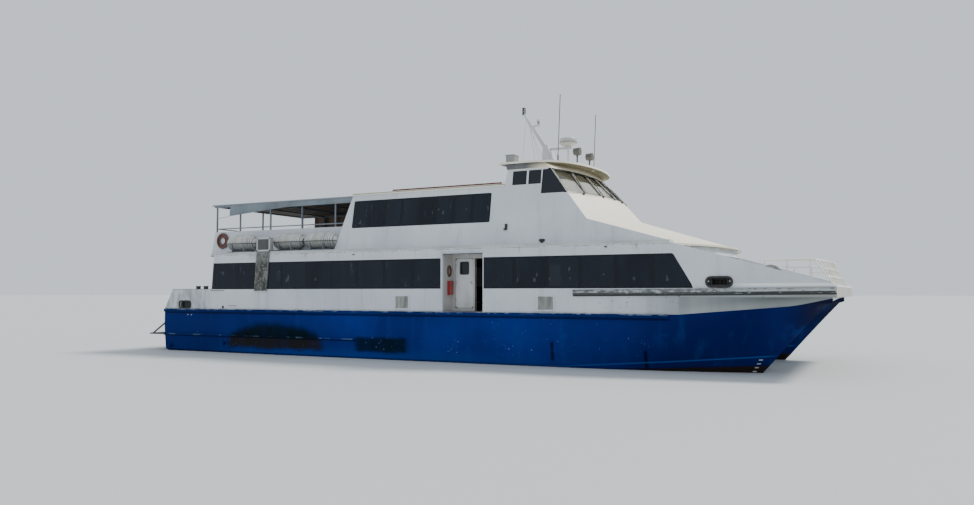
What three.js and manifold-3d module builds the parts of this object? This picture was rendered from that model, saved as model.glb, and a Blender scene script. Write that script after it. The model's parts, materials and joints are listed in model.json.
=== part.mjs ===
// Twin-hull passenger ferry, two decks and a wheelhouse, afloat.
// Millimetres. +X forward, +Y port, +Z up. Origin amidships on the centreline, at the waterline.
import * as THREE from "three";
import { mergeVertices } from "three/addons/utils/BufferGeometryUtils.js";
import Module from "manifold-3d";

const wasm = await Module();
wasm.setup();

// Driving dimensions
const HALF_BEAM = 4500;
const TRANSOM_X = -14840;
const BOW_X = 15000;
const HULL_Y = 3100; // centreline of each hull
const SEAT_GAP = 0.3; // clearance where slanted or cut faces meet
const WET_DECK_Z = 1150;
const MAIN_DECK_Z = 2000;
const BREAK_X = 10000; // forward of this the deck steps up to the foredeck
const FORE_HULL_TOP_Z = 2600;
const FOREDECK_Z = 2650;
const SIDE_TOP_Z = 4500; // knuckle between main cabin side and upper deck
const UPPER_DECK_Z = 4600;
const LEDGE = 600; // side deck outside the upper cabin
const UPPER_ROOF_Z = 6990; // underside of the upper cabin roof
const ROOF_THICK = 100;
const WHEELHOUSE_TOP_Z = 7600;
const WHEELHOUSE_ROOF_TOP_Z = 8010;
const SIDE_WALL = 100; // main cabin side, plating and lining together
const UPPER_WALL = 80;
const GLASS = 20;
const GLASS_RECESS = 22;
const LEAN = Math.tan(THREE.MathUtils.degToRad(10)); // inward lean of the upper cabin sides
const CABIN_AFT_X = -11800;

// Finishes: colour, roughness, metalness
const finish = (color, roughness, metalness = 0) => () =>
  new THREE.MeshStandardMaterial({ color, roughness, metalness });
const FINISH = {
  hullBlue: finish(0x10357f, 0.45),
  white: finish(0xc9cfd6, 0.5),
  cream: finish(0xd6d2c4, 0.55),
  visor: finish(0x5d5a48, 0.6),
  glass: finish(0x10161d, 0.12),
  clearGlass: finish(0x8fa3a8, 0.1),
  deck: finish(0x77827f, 0.8),
  canopy: finish(0x6b5f53, 0.8),
  canvas: finish(0xaeb4bb, 0.9),
  raft: finish(0xd8d6cc, 0.45),
  steel: finish(0x9fa4a6, 0.4, 0.8),
  bronze: finish(0x9a7a45, 0.35, 0.9),
  louvre: finish(0x8e9488, 0.7),
  seat: finish(0x2c3f66, 0.85),
  console: finish(0x40464c, 0.6),
};

const ferry = new THREE.Group();

// Adds one sub-part as a named mesh.
function add(name, geometry, finishName) {
  const flat = geometry.index ? geometry.toNonIndexed() : geometry;
  flat.computeVertexNormals();
  const mesh = new THREE.Mesh(flat, FINISH[finishName]());
  mesh.name = name;
  ferry.add(mesh);
  return mesh;
}

// Six times the signed volume of an indexed geometry, negative when it is inside out.
function signedVolume(geometry) {
  const p = geometry.attributes.position;
  const at = (i) => new THREE.Vector3().fromBufferAttribute(p, geometry.index.getX(i));
  let sum = 0;
  for (let i = 0; i < geometry.index.count; i += 3) sum += at(i).dot(at(i + 1).cross(at(i + 2)));
  return sum;
}

// Position-only, welded and facing out.
function closed(geometry) {
  const bare = geometry.clone();
  for (const key of Object.keys(bare.attributes)) if (key !== "position") bare.deleteAttribute(key);
  const merged = mergeVertices(bare, 1e-3);
  if (signedVolume(merged) < 0) {
    const index = merged.index.array;
    for (let i = 0; i < index.length; i += 3) [index[i + 1], index[i + 2]] = [index[i + 2], index[i + 1]];
  }
  return merged;
}

// Moves every vertex by a function of its place.
function remap(geometry, place) {
  const p = geometry.attributes.position;
  for (let i = 0; i < p.count; i++) p.setXYZ(i, ...place(p.getX(i), p.getY(i), p.getZ(i)));
  return closed(geometry);
}

const mirrorY = (geometry) => remap(geometry.clone(), (x, y, z) => [x, -y, z]);

function solidOf(geometry) {
  const g = closed(geometry);
  return new wasm.Manifold(
    new wasm.Mesh({
      numProp: 3,
      vertProperties: g.attributes.position.array,
      triVerts: new Uint32Array(g.index.array),
    }),
  );
}

function geometryOf(solid) {
  const mesh = solid.getMesh();
  const g = new THREE.BufferGeometry();
  g.setAttribute("position", new THREE.BufferAttribute(new Float32Array(mesh.vertProperties), 3));
  g.setIndex(new THREE.BufferAttribute(new Uint32Array(mesh.triVerts), 1));
  return g;
}

const join = (...pieces) => geometryOf(pieces.map(solidOf).reduce((a, b) => a.add(b)));
const cut = (piece, ...tools) =>
  geometryOf(tools.map(solidOf).reduce((a, b) => a.subtract(b), solidOf(piece)));

function box(x0, x1, y0, y1, z0, z1) {
  const g = new THREE.BoxGeometry(1, 1, 1);
  return remap(g, (x, y, z) => [x < 0 ? x0 : x1, y < 0 ? y0 : y1, z < 0 ? z0 : z1]);
}

// An outline of [a, b] points extruded between two values of the third axis, with holes cut through.
function extruded(outline, from, to, place, holes = []) {
  const prism = (points, start, end) => {
    const shape = new THREE.Shape(points.map(([a, b]) => new THREE.Vector2(a, b)));
    const g = new THREE.ExtrudeGeometry(shape, { depth: 1, bevelEnabled: false });
    return remap(g, (a, b, c) => place(a, b, c < 0.5 ? start : end));
  };
  const plate = prism(outline, from, to);
  return holes.length ? cut(plate, ...holes.map((hole) => prism(hole, from - 10, to + 10))) : plate;
}
// Outline in X and Z, thick along Y; in X and Y, thick along Z; in Y and Z, thick along X.
const plateY = (outline, y0, y1, holes) => extruded(outline, y0, y1, (a, b, c) => [a, c, b], holes);
const plateZ = (outline, z0, z1, holes) => extruded(outline, z0, z1, (a, b, c) => [a, b, c], holes);
const plateX = (outline, x0, x1, holes) => extruded(outline, x0, x1, (a, b, c) => [c, a, b], holes);

// A rectangle whose corners are rounded by arcs of short chords.
function roundedRect(a0, a1, b0, b1, radius, chords = 2) {
  const points = [];
  const corners = [
    [a1 - radius, b0 + radius, -90],
    [a1 - radius, b1 - radius, 0],
    [a0 + radius, b1 - radius, 90],
    [a0 + radius, b0 + radius, 180],
  ];
  for (const [a, b, start] of corners)
    for (let k = 0; k <= chords; k++) {
      const turn = THREE.MathUtils.degToRad(start + (90 * k) / chords);
      points.push([a + radius * Math.cos(turn), b + radius * Math.sin(turn)]);
    }
  return points;
}
const rect = (a0, a1, b0, b1) => [[a0, b0], [a1, b0], [a1, b1], [a0, b1]];

// A closed solid through rings of equal count, each ring a list of [x, y, z].
function loft(rings) {
  const count = rings[0].length;
  const points = rings.flat(2);
  const index = [];
  for (let r = 0; r + 1 < rings.length; r++)
    for (let i = 0; i < count; i++) {
      const a = r * count + i;
      const b = r * count + ((i + 1) % count);
      index.push(a, b, a + count, b, b + count, a + count);
    }
  const last = (rings.length - 1) * count;
  for (const [start, ring, near] of [[0, rings[0], true], [last, rings[rings.length - 1], false]]) {
    const flat = ring.map(([, y, z]) => new THREE.Vector2(y, z));
    const around = Math.sign(THREE.ShapeUtils.area(flat));
    for (const [a, b, c] of THREE.ShapeUtils.triangulateShape(flat, [])) {
      const turn = Math.sign(THREE.ShapeUtils.area([flat[a], flat[b], flat[c]]));
      if ((turn === around) === near) index.push(start + a, start + c, start + b);
      else index.push(start + a, start + b, start + c);
    }
  }
  const g = new THREE.BufferGeometry();
  g.setAttribute("position", new THREE.Float32BufferAttribute(points, 3));
  g.setIndex(index);
  return closed(g);
}

// A closed shell between an outer and an inner grid of [x, y, z] points of the same size.
function shell(outer, inner) {
  const rows = outer.length;
  const cols = outer[0].length;
  const points = [...outer.flat(2), ...inner.flat(2)];
  const o = (r, c) => r * cols + c;
  const n = (r, c) => rows * cols + r * cols + c;
  const index = [];
  const quad = (a, b, c, d) => index.push(a, b, c, a, c, d);
  for (let r = 0; r + 1 < rows; r++)
    for (let c = 0; c + 1 < cols; c++) {
      quad(o(r, c), o(r, c + 1), o(r + 1, c + 1), o(r + 1, c));
      quad(n(r, c), n(r + 1, c), n(r + 1, c + 1), n(r, c + 1));
    }
  for (let r = 0; r + 1 < rows; r++) {
    quad(o(r, 0), o(r + 1, 0), n(r + 1, 0), n(r, 0));
    quad(o(r, cols - 1), n(r, cols - 1), n(r + 1, cols - 1), o(r + 1, cols - 1));
  }
  for (let c = 0; c + 1 < cols; c++) {
    quad(o(0, c), n(0, c), n(0, c + 1), o(0, c + 1));
    quad(o(rows - 1, c), o(rows - 1, c + 1), n(rows - 1, c + 1), n(rows - 1, c));
  }
  const g = new THREE.BufferGeometry();
  g.setAttribute("position", new THREE.Float32BufferAttribute(points, 3));
  g.setIndex(index);
  return closed(g);
}

// A round bar between two points.
function bar(from, to, radius, sides = 8, endRadius = radius) {
  const a = new THREE.Vector3(...from);
  const b = new THREE.Vector3(...to);
  const g = new THREE.CylinderGeometry(endRadius, radius, a.distanceTo(b), sides);
  const turn = new THREE.Quaternion().setFromUnitVectors(
    new THREE.Vector3(0, 1, 0),
    b.clone().sub(a).normalize(),
  );
  g.applyQuaternion(turn);
  g.translate(...a.add(b).multiplyScalar(0.5).toArray());
  return closed(g);
}

// Both sides of a paired piece: the starboard one is given, the port one mirrors it.
function addPair(name, starboard, finishName) {
  add(name + "_starboard", starboard, finishName);
  add(name + "_port", mirrorY(starboard), finishName);
}

// Hulls
// Stations: x, keel z, chine z, half-breadth at the chine, z and half-breadth at mid side
const STATIONS = [
  [TRANSOM_X, -800, 100, 1300, 1100, 1400],
  [-8000, -1150, 80, 1340, 1100, 1400],
  [-1000, -1300, 80, 1340, 1100, 1400],
  [6000, -1300, 120, 1240, 1150, 1400],
  [8500, -1250, 200, 1060, 1300, 1390],
  [BREAK_X, -1150, 300, 860, 1500, 1340],
  [11200, -950, 420, 580, 1700, 1180],
  [12200, -330, 520, 330, 1850, 940],
  [13200, 780, 900, 90, 1900, 620],
  [14000, 1690, 1750, 50, 2050, 330],
  [14780, 2540, 2545, 40, 2550, 60],
];
const TOP_HALF = 1400;
const KNUCKLE_RISE = 0.085; // forward of the break the lower edge of the flat side climbs at this slope
// Towards the stem the band above the knuckle draws in, its lower edge more than its upper one.
const drawnIn = (x, from, by) => TOP_HALF - by * Math.max(0, (x - from) / (BOW_X - 220 - from)) ** 2;
const knuckleHalf = (x) => drawnIn(x, 11800, 1290);
const foreTopHalf = (x) => drawnIn(x, 12600, 1180);
const STATION_STEPS = 2;

// More stations between the given ones, on a smooth curve through each column.
function faired(rows, steps) {
  const slope = (i, k) => {
    const before = rows[Math.max(i - 1, 0)];
    const after = rows[Math.min(i + 1, rows.length - 1)];
    return (after[k] - before[k]) / (after[0] - before[0]);
  };
  const made = [];
  for (let i = 0; i + 1 < rows.length; i++)
    for (let j = 0; j < steps; j++) {
      const t = j / steps;
      const span = rows[i + 1][0] - rows[i][0];
      made.push(rows[i].map((start, k) => {
        if (k === 0) return start + span * t;
        const rise = rows[i + 1][k] - start;
        const m0 = slope(i, k) * span;
        const m1 = slope(i + 1, k) * span;
        return start + m0 * t + (3 * rise - 2 * m0 - m1) * t * t + (m0 + m1 - 2 * rise) * t ** 3;
      }));
    }
  return [...made, rows[rows.length - 1]];
}
const HULL_ROWS = faired(STATIONS, STATION_STEPS);

// A hull about its own centreline in two lofts, the forward one with its flat side above a knuckle.
// Grown sideways for cutting what meets it.
function hullSolid(grow) {
  const ring = ([x, keel, chineZ, chineHalf, midZ, midHalf], tops) => {
    const side = [[chineHalf, chineZ], [midHalf, midZ], ...tops].map(([h, z]) => [h + grow, z]);
    const other = side.map(([h, z]) => [-h, z]).reverse();
    return [[0, keel - grow], ...side, ...other].map(([y, z]) => [x, y - HULL_Y, z]);
  };
  const aft = HULL_ROWS.filter(([x]) => x <= BREAK_X);
  const fore = HULL_ROWS.filter(([x]) => x >= BREAK_X);
  const knuckleZ = (x) => MAIN_DECK_Z + KNUCKLE_RISE * (x - BREAK_X);
  return join(
    loft(aft.map((row) => ring(row, [[TOP_HALF, MAIN_DECK_Z]]))),
    loft(fore.map((row) =>
      ring(row, [[knuckleHalf(row[0]), knuckleZ(row[0])], [foreTopHalf(row[0]), FORE_HULL_TOP_Z]]))),
  );
}

// Propeller shaft line of the starboard hull, and the rudder stock behind it
const SHAFT_DEG = 8;
const PROP_AT = [-13300, -HULL_Y, -1400];
const SHAFT_R = 38;
const BORE_R = 38.85;
const ROUND = 24;
const SHAFT_END = 3200; // forward end of the shaft, measured from the propeller
const SHAFT_DIR = [Math.cos((SHAFT_DEG * Math.PI) / 180), 0, Math.sin((SHAFT_DEG * Math.PI) / 180)];
const onShaft = (s) => PROP_AT.map((v, i) => v + SHAFT_DIR[i] * s);
const RUDDER_X = -14080;
const STOCK_R = 50;
const STOCK_BORE_R = 50.9;
const STOCK_TOP_Z = -500;

const STRAKE = { x1: 9640, y: -HALF_BEAM - 70, z0: 1850 };
const SPRAY_RAIL = { x1: -3700, y: -HALF_BEAM - 45, z0: 775, z1: 835 };
const hullStarboard = cut(
  join(
    hullSolid(0),
    box(TRANSOM_X, STRAKE.x1, STRAKE.y, 20 - HALF_BEAM, STRAKE.z0, MAIN_DECK_Z),
    box(TRANSOM_X, SPRAY_RAIL.x1, SPRAY_RAIL.y, 100 - HALF_BEAM, SPRAY_RAIL.z0, SPRAY_RAIL.z1),
    bar(onShaft(2300), onShaft(3400), 110, 12),
  ),
  bar(onShaft(2200), onShaft(SHAFT_END + 40), BORE_R, ROUND),
  bar([RUDDER_X, -HULL_Y, -1200], [RUDDER_X, -HULL_Y, STOCK_TOP_Z + 20], STOCK_BORE_R, ROUND),
);
addPair("hull", hullStarboard, "hullBlue");

// Bridge deck between the hulls, with the tunnel roof rising to the bow
const BRIDGE_PROFILE = [
  [TRANSOM_X, WET_DECK_Z],
  [TRANSOM_X, MAIN_DECK_Z],
  [BREAK_X, MAIN_DECK_Z],
  [BREAK_X, FORE_HULL_TOP_Z],
  [14740, FORE_HULL_TOP_Z],
  [13600, 2000],
  [11500, 1350],
  [BREAK_X, WET_DECK_Z],
];
const hullCutter = hullSolid(SEAT_GAP);
const FASCIA_TOP_Z = 3000;
add(
  "bridge_deck",
  join(
    cut(plateY(BRIDGE_PROFILE, -HULL_Y, HULL_Y), hullCutter, mirrorY(hullCutter)),
    box(BREAK_X, BOW_X, -HALF_BEAM, HALF_BEAM, FORE_HULL_TOP_Z, FOREDECK_Z),
    box(BOW_X - 90, BOW_X, SIDE_WALL - HALF_BEAM, HALF_BEAM - SIDE_WALL, FOREDECK_Z - 50, FASCIA_TOP_Z),
  ),
  "white",
);

// Main cabin sides with the aft bulwark and the bow bulwark in one run of plating
const SIDE_OUTLINE = [
  [TRANSOM_X, MAIN_DECK_Z],
  [BREAK_X, MAIN_DECK_Z],
  [BREAK_X, FOREDECK_Z],
  [BOW_X, FOREDECK_Z],
  [BOW_X, FASCIA_TOP_Z],
  [9840, 4470],
  [9740, SIDE_TOP_Z],
  [-11680, SIDE_TOP_Z],
  [CABIN_AFT_X, 2930],
  [-14320, 2930],
];
const WINDOW_Z = [2910, 4120];
const AFT_BAND = rect(-11620, 540, ...WINDOW_Z);
const FORE_BAND = [[2460, 2910], [10500, 2910], [10440, 3060], [9840, 4080], [9780, 4120], [2460, 4120]];
const inset = 60; // glass edge beyond the clear pane
const panes = (from, to, count, z, mullion) => {
  const pitch = (to - from) / count;
  return Array.from({ length: count }, (_, i) =>
    rect(from + i * pitch + mullion / 2, from + (i + 1) * pitch - mullion / 2, z[0], z[1]));
};
const MAIN_PANE_Z = [WINDOW_Z[0] + inset, WINDOW_Z[1] - inset];
const AFT_PANES = panes(-11600, 520, 9, MAIN_PANE_Z, 110);
const FORE_PANES = [
  ...panes(2480, 9040, 5, MAIN_PANE_Z, 110),
  [[9100, MAIN_PANE_Z[0]], [10360, MAIN_PANE_Z[0]], [9770, MAIN_PANE_Z[1]], [9100, MAIN_PANE_Z[1]]],
];
const ENTRANCE = { x0: 620, x1: 2420, z1: 4290, depth: 800, wall: 80 };
const AFT_CHOCK = roundedRect(-13850, -13150, 2060, 2340, 90);
const BOW_CHOCK = roundedRect(10910, 11830, 2920, 3310, 180, 3);
const SIDE_IN = SIDE_WALL - HALF_BEAM;
const ROOTED = 20 - HALF_BEAM; // how deep into the plating what stands on it reaches
const FENDER = [[6150, 2670], [14970, 2750], [14970, 2930], [6150, 2860]];
const FENDER_OUT = 90;
const LOUVRES = [[-1610, -910], [4710, 5420]]; // engine room air boxes, each from and to in x
const LOUVRE = { y: -HALF_BEAM - 40, z0: 2070, z1: 2660, rim: 50 };
const DRIP_RAIL = { x0: ENTRANCE.x0 - 50, x1: ENTRANCE.x1 + 40, z0: ENTRANCE.z1 + 50, z1: 4370 };
const sideWall = cut(
  join(
    plateY(SIDE_OUTLINE, -HALF_BEAM, SIDE_IN, [AFT_CHOCK, BOW_CHOCK, ...AFT_PANES, ...FORE_PANES]),
    plateY(FENDER, -HALF_BEAM - FENDER_OUT, ROOTED),
    box(DRIP_RAIL.x0, DRIP_RAIL.x1, -HALF_BEAM - 40, ROOTED, DRIP_RAIL.z0, DRIP_RAIL.z1),
    ...LOUVRES.map(([a, b]) => box(a, b, LOUVRE.y, ROOTED, LOUVRE.z0, LOUVRE.z1)),
  ),
  ...LOUVRES.map(([a, b]) => box(
    a + LOUVRE.rim,
    b - LOUVRE.rim,
    LOUVRE.y - 10,
    -HALF_BEAM - 5,
    LOUVRE.z0 + LOUVRE.rim,
    LOUVRE.z1 - LOUVRE.rim,
  )),
  plateY(AFT_BAND, -HALF_BEAM - 10, GLASS_RECESS - HALF_BEAM),
  plateY(FORE_BAND, -HALF_BEAM - 10, GLASS_RECESS - HALF_BEAM),
  box(ENTRANCE.x0, ENTRANCE.x1, -HALF_BEAM - 200, SIDE_IN + 50, MAIN_DECK_Z - 50, ENTRANCE.z1),
);
addPair("side_wall", sideWall, "white");

// Ring frames of the bow fairleads, each with a roller along its foot
const fairlead = join(
  plateY(roundedRect(10910.4, 11829.6, 2920.4, 3309.6, 180, 3), -HALF_BEAM - 45, SIDE_IN + 20, [
    roundedRect(10985, 11755, 2990, 3240, 120, 3),
  ]),
  bar([11020, -HALF_BEAM + 10, 2995], [11720, -HALF_BEAM + 10, 2995], 34, 10),
);
addPair("bow_fairlead", fairlead, "steel");

// Glass bands, bonded in their recess with the clearance of a sealant line
const GLASS_OUT = GLASS_RECESS - GLASS - HALF_BEAM;
const GLASS_IN = GLASS_RECESS - HALF_BEAM;
const aftGlass = plateY(rect(-11620 + 2, 540 - 2, 2912, 4118), GLASS_OUT, GLASS_IN);
addPair("window_band_aft", aftGlass, "glass");
const foreGlass = plateY(
  [[2462, 2912], [10496, 2912], [10437, 3058], [9838, 4078], [9778, 4118], [2462, 4118]],
  GLASS_OUT,
  GLASS_IN,
);
addPair("window_band_fore", foreGlass, "glass");

// Entrance alcoves: back wall with a hinged door and an open doorway, side cheeks and a soffit
const DOOR = { x0: 770, x1: 1576, z0: 2130, z1: 4130, leaf: 50, gap: 10 };
const DOORWAY = [1690, 2400, MAIN_DECK_Z - 50, 4100];
const alcoveIn = SIDE_IN + ENTRANCE.depth - SIDE_WALL; // outer face of the back wall
const alcoveBack = alcoveIn + ENTRANCE.wall;
const alcove = cut(
  box(ENTRANCE.x0 - 80, ENTRANCE.x1 + 80, SIDE_IN, alcoveBack, MAIN_DECK_Z, ENTRANCE.z1 + 60),
  box(ENTRANCE.x0, ENTRANCE.x1, SIDE_IN - 50, alcoveIn, MAIN_DECK_Z - 50, ENTRANCE.z1),
  box(DOOR.x0, DOOR.x1, alcoveIn - 50, alcoveBack + 50, DOOR.z0, DOOR.z1),
  box(DOORWAY[0], DOORWAY[1], alcoveIn - 50, alcoveBack + 50, DOORWAY[2], DOORWAY[3]),
);
const SILL_PLATE = 15;
const sillTop = MAIN_DECK_Z + SILL_PLATE;
const sillPlate = join(
  box(ENTRANCE.x0, ENTRANCE.x1, 10 - HALF_BEAM, SIDE_IN + 10, MAIN_DECK_Z, sillTop),
  box(ENTRANCE.x0 - 10, ENTRANCE.x1 + 10, SIDE_IN, alcoveIn + 10, MAIN_DECK_Z, sillTop),
);
addPair("entrance", join(alcove, sillPlate), "white");

// A door leaf about a vertical hinge: leaf runs along +X from the hinge, its barrels are at the origin,
// and the leaf stands on the -Y side of them. The window is cut in its upper part.
const BARREL_R = 15;
function doorLeaf(width, z0, z1, depth, windowHalf, start = 10) {
  const middle = start + width / 2;
  const top = z1 - 380;
  return cut(
    join(
      plateY(roundedRect(start, start + width, z0, z1, 110), -depth - DOOR.leaf, -depth),
      ...[0.15, 0.85].map((f) => {
        const z = z0 + (z1 - z0) * f;
        return join(
          bar([0, 0, z - 60], [0, 0, z + 60], BARREL_R, 12),
          box(0, start + 90, -8, 8, z - 50, z + 50),
          box(start, start + 90, -depth - 10, 8, z - 50, z + 50),
        );
      }),
    ),
    plateY(
      roundedRect(middle - windowHalf, middle + windowHalf, top - 250, top + 250, 60),
      -depth - DOOR.leaf - 20,
      -depth + 20,
    ),
  );
}
const SIDE_HINGE = [DOOR.x0 - 5, alcoveBack + BARREL_R + 0.5];
const sideDoor = doorLeaf(790, DOOR.z0 + DOOR.gap, DOOR.z1 - DOOR.gap, BARREL_R + 5, 200).translate(
  SIDE_HINGE[0],
  SIDE_HINGE[1],
  0,
);
addPair("side_door", closed(sideDoor), "white");

// End walls of the main cabin
const AFT_DOOR = { hingeY: 405, y0: -406, y1: 404, z0: 2060, z1: 4000 };
const CABIN_AFT_IN = CABIN_AFT_X + 80;
add(
  "cabin_aft_wall",
  plateX(
    rect(SIDE_IN, -SIDE_IN, MAIN_DECK_Z, SIDE_TOP_Z),
    CABIN_AFT_X,
    CABIN_AFT_IN,
    [
      rect(AFT_DOOR.y0, AFT_DOOR.y1, AFT_DOOR.z0, AFT_DOOR.z1),
      rect(-2900, -1500, 3000, 3900),
      rect(1500, 2900, 3000, 3900),
    ],
  ),
  "white",
);
// Turned a quarter: the leaf runs to starboard from its hinge and opens aft.
const aftLeaf = (z0, z1, x, y) =>
  remap(doorLeaf(790, z0 + 10, z1 - 10, BARREL_R + 5, 200), (a, b, c) => [x - b, y - a, c]);
const AFT_HINGE_X = CABIN_AFT_X - BARREL_R - 0.5;
add("cabin_aft_door", aftLeaf(AFT_DOOR.z0, AFT_DOOR.z1, AFT_HINGE_X, AFT_DOOR.hingeY), "white");

// Upper deck: full beam over the cabin, narrower over the mooring deck aft, open under the coachroof
const AFT_DECK_X = -13200;
const BULWARK_Y = 3200;
const SIDE_DECK_END_X = 9700;
const COACH_OPEN_X = 9000;
const UPPER_FOOT_Y = HALF_BEAM - LEDGE;
const deckEdge = [
  [COACH_OPEN_X, UPPER_FOOT_Y], [SIDE_DECK_END_X, UPPER_FOOT_Y], [SIDE_DECK_END_X, HALF_BEAM],
  [CABIN_AFT_X, HALF_BEAM], [AFT_DECK_X, BULWARK_Y + 40],
];
const deckOutline = [...deckEdge, ...deckEdge.map(([x, y]) => [x, -y]).reverse()];
add("upper_deck", plateZ(deckOutline, SIDE_TOP_Z, UPPER_DECK_Z), "deck");

// Upper cabin and wheelhouse sides, one leaning plate each, standing inside the side decks
const leanIn = (z) => LEDGE + (z - SIDE_TOP_Z) * LEAN;
const KNEE = [6390, 5530]; // where the coachroof turns up towards the wheelhouse windows
const SILL = [5570, 6570];
const WINDOW_HEAD_X = 4810;
const UPPER_OUTLINE = [
  [-5220, UPPER_DECK_Z],
  [9600, UPPER_DECK_Z],
  KNEE,
  SILL,
  [WINDOW_HEAD_X, WHEELHOUSE_TOP_Z],
  [2950, WHEELHOUSE_TOP_Z],
  [2860, UPPER_ROOF_Z],
  [-4520, UPPER_ROOF_Z],
];
const UPPER_BAND = roundedRect(-4400, 2320, 5550, 6750, 50);
const UPPER_PANES = panes(-4360, 2280, 8, [5610, 6690], 90);
const WHEELHOUSE_SIDE_PANES = [
  rect(3200, 3805, 7000, 7560),
  rect(3890, 4425, 7000, 7560),
  [[4460, 6600], [5490, 6600], [4800, 7560], [4480, 7560]],
];
const leaned = (geometry) => remap(geometry, (x, y, z) => [x, y + leanIn(z), z]);
const upperSide = leaned(
  cut(
    plateY(UPPER_OUTLINE, -HALF_BEAM, UPPER_WALL - HALF_BEAM, [...UPPER_PANES, ...WHEELHOUSE_SIDE_PANES]),
    plateY(UPPER_BAND, -HALF_BEAM - 10, GLASS_RECESS - HALF_BEAM),
  ),
);
addPair("upper_side", upperSide, "white");
const upperPane = plateY(roundedRect(-4398, 2318, 5552, 6748, 49), GLASS_OUT, GLASS_IN - SEAT_GAP);
addPair("window_band_upper", leaned(upperPane), "glass");
const innerY = (z) => HALF_BEAM - UPPER_WALL - leanIn(z) - SEAT_GAP;

// End walls between the leaning sides: quads in Y and Z
const leaningPlate = (x0, x1, z0, z1, holes = []) =>
  plateX([[-innerY(z0), z0], [innerY(z0), z0], [innerY(z1), z1], [-innerY(z1), z1]], x0, x1, holes);
const UPPER_AFT_X = -4470;
const UPPER_DOOR = { hingeY: 405, y0: -406, y1: 404, z0: 4650, z1: 6590 };
add(
  "upper_aft_wall",
  leaningPlate(UPPER_AFT_X, UPPER_AFT_X + 70, UPPER_DECK_Z, UPPER_ROOF_Z, [
    rect(UPPER_DOOR.y0, UPPER_DOOR.y1, UPPER_DOOR.z0, UPPER_DOOR.z1),
  ]),
  "cream",
);
add(
  "upper_aft_door",
  aftLeaf(UPPER_DOOR.z0, UPPER_DOOR.z1, UPPER_AFT_X - BARREL_R - 0.5, UPPER_DOOR.hingeY),
  "cream",
);
const ROOF_END_X = 2970; // the cabin roof reaches the wheelhouse's aft wall
add(
  "wheelhouse_aft_wall",
  leaningPlate(ROOF_END_X, ROOF_END_X + 60, 6790, WHEELHOUSE_TOP_Z, [rect(-1500, 1500, 7180, 7500)]),
  "white",
);
const roofEdge = [[ROOF_END_X, 3360], [2859, 3360], [2859, 3492], [-4520, 3492]];
const roofOutline = [...roofEdge, ...roofEdge.map(([x, y]) => [x, -y]).reverse()];
add("upper_roof", plateZ(roofOutline, UPPER_ROOF_Z, UPPER_ROOF_Z + ROOF_THICK), "white");

// Forward faces, curved in plan. A row is given at its side and at the centreline.
const ACROSS = [-1, -0.86, -0.5, 0, 0.5, 0.86, 1];
const BULGE = 2.3;
function frontRow(side, centre, halfWidth, shift = [0, 0]) {
  return ACROSS.map((f) => {
    const t = 1 - Math.abs(f) ** BULGE;
    const x = side[0] + (centre[0] - side[0]) * t + shift[0];
    const z = side[1] + (centre[1] - side[1]) * t + shift[1];
    return [x, f * halfWidth(z), z];
  });
}
function frontShell(rows, halfWidth) {
  return shell(
    rows.map(({ side, centre }) => frontRow(side, centre, halfWidth)),
    rows.map(({ side, centre, inward }) => frontRow(side, centre, halfWidth, inward)),
  );
}
const SILL_CENTRE = [6330, SILL[1] + 30];
const COACHROOF = [
  { side: SILL, centre: SILL_CENTRE, inward: [-70, 0] },
  { side: KNEE, centre: [7150, 5700], inward: [-60, -60] },
  { side: [9740, 4470], centre: [11080, 4470], inward: [-30, -70] },
];
// The coachroof ends in a level lip across the full beam, over the cabin front.
const LIP = { x: 9840, bow: 1360, z0: 4390, z1: 4480, half: -SIDE_IN - SEAT_GAP };
const lipFront = ACROSS.map((f) => [LIP.x + LIP.bow * (1 - Math.abs(f) ** BULGE), LIP.half * f]);
const lip = plateZ([[9705, -LIP.half], ...lipFront, [9705, LIP.half]], LIP.z0, LIP.z1);
add("coachroof", join(frontShell(COACHROOF, innerY), lip), "cream");

const raised = ([x, z], by) => [x, z + by];
const FRONT_TOP = WHEELHOUSE_TOP_Z - 0.5;
const FRONT_WINDOWS = [
  { side: raised(SILL, 0.5), centre: raised(SILL_CENTRE, 0.5), inward: [-50, 0] },
  { side: [WINDOW_HEAD_X, FRONT_TOP], centre: [5350, FRONT_TOP], inward: [-50, 0] },
];
// Edges of the panes in y, at the sill and at the head: the mullions spread towards the sill.
const SILL_EDGES = [-3440, -2400, -1320, 0, 1320, 2400, 3440];
const HEAD_EDGES = [-3280, -2120, -1000, 0, 1000, 2120, 3280];
const PANE_GAP = 40; // half the width of a mullion
const [PANE_LOW, PANE_HIGH] = [SILL[1] + 90, WHEELHOUSE_TOP_Z - 50];
const frontPanes = SILL_EDGES.slice(1).map((y, i) =>
  plateX([
    [SILL_EDGES[i] + PANE_GAP, PANE_LOW], [y - PANE_GAP, PANE_LOW],
    [HEAD_EDGES[i + 1] - PANE_GAP, PANE_HIGH], [HEAD_EDGES[i] + PANE_GAP, PANE_HIGH],
  ], 3000, 8000));
add("wheelhouse_front", cut(frontShell(FRONT_WINDOWS, innerY), ...frontPanes), "white");
const GLASS_BEHIND = 51;
const GLASS_ROWS = FRONT_WINDOWS.map(({ side, centre }) => ({
  side: [side[0] - GLASS_BEHIND, side[1]],
  centre: [centre[0] - GLASS_BEHIND, centre[1]],
  inward: [-15, 0],
}));
add("wheelhouse_glass", frontShell(GLASS_ROWS, innerY), "clearGlass");

const CABIN_FRONT = [
  { side: [9700, LIP.z0 - SEAT_GAP], centre: [11030, LIP.z0 - SEAT_GAP], inward: [-70, 0] },
  { side: [10660, FOREDECK_Z], centre: [11900, FOREDECK_Z], inward: [-70, 0] },
];
add("cabin_front", frontShell(CABIN_FRONT, () => LIP.half), "white");

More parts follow.
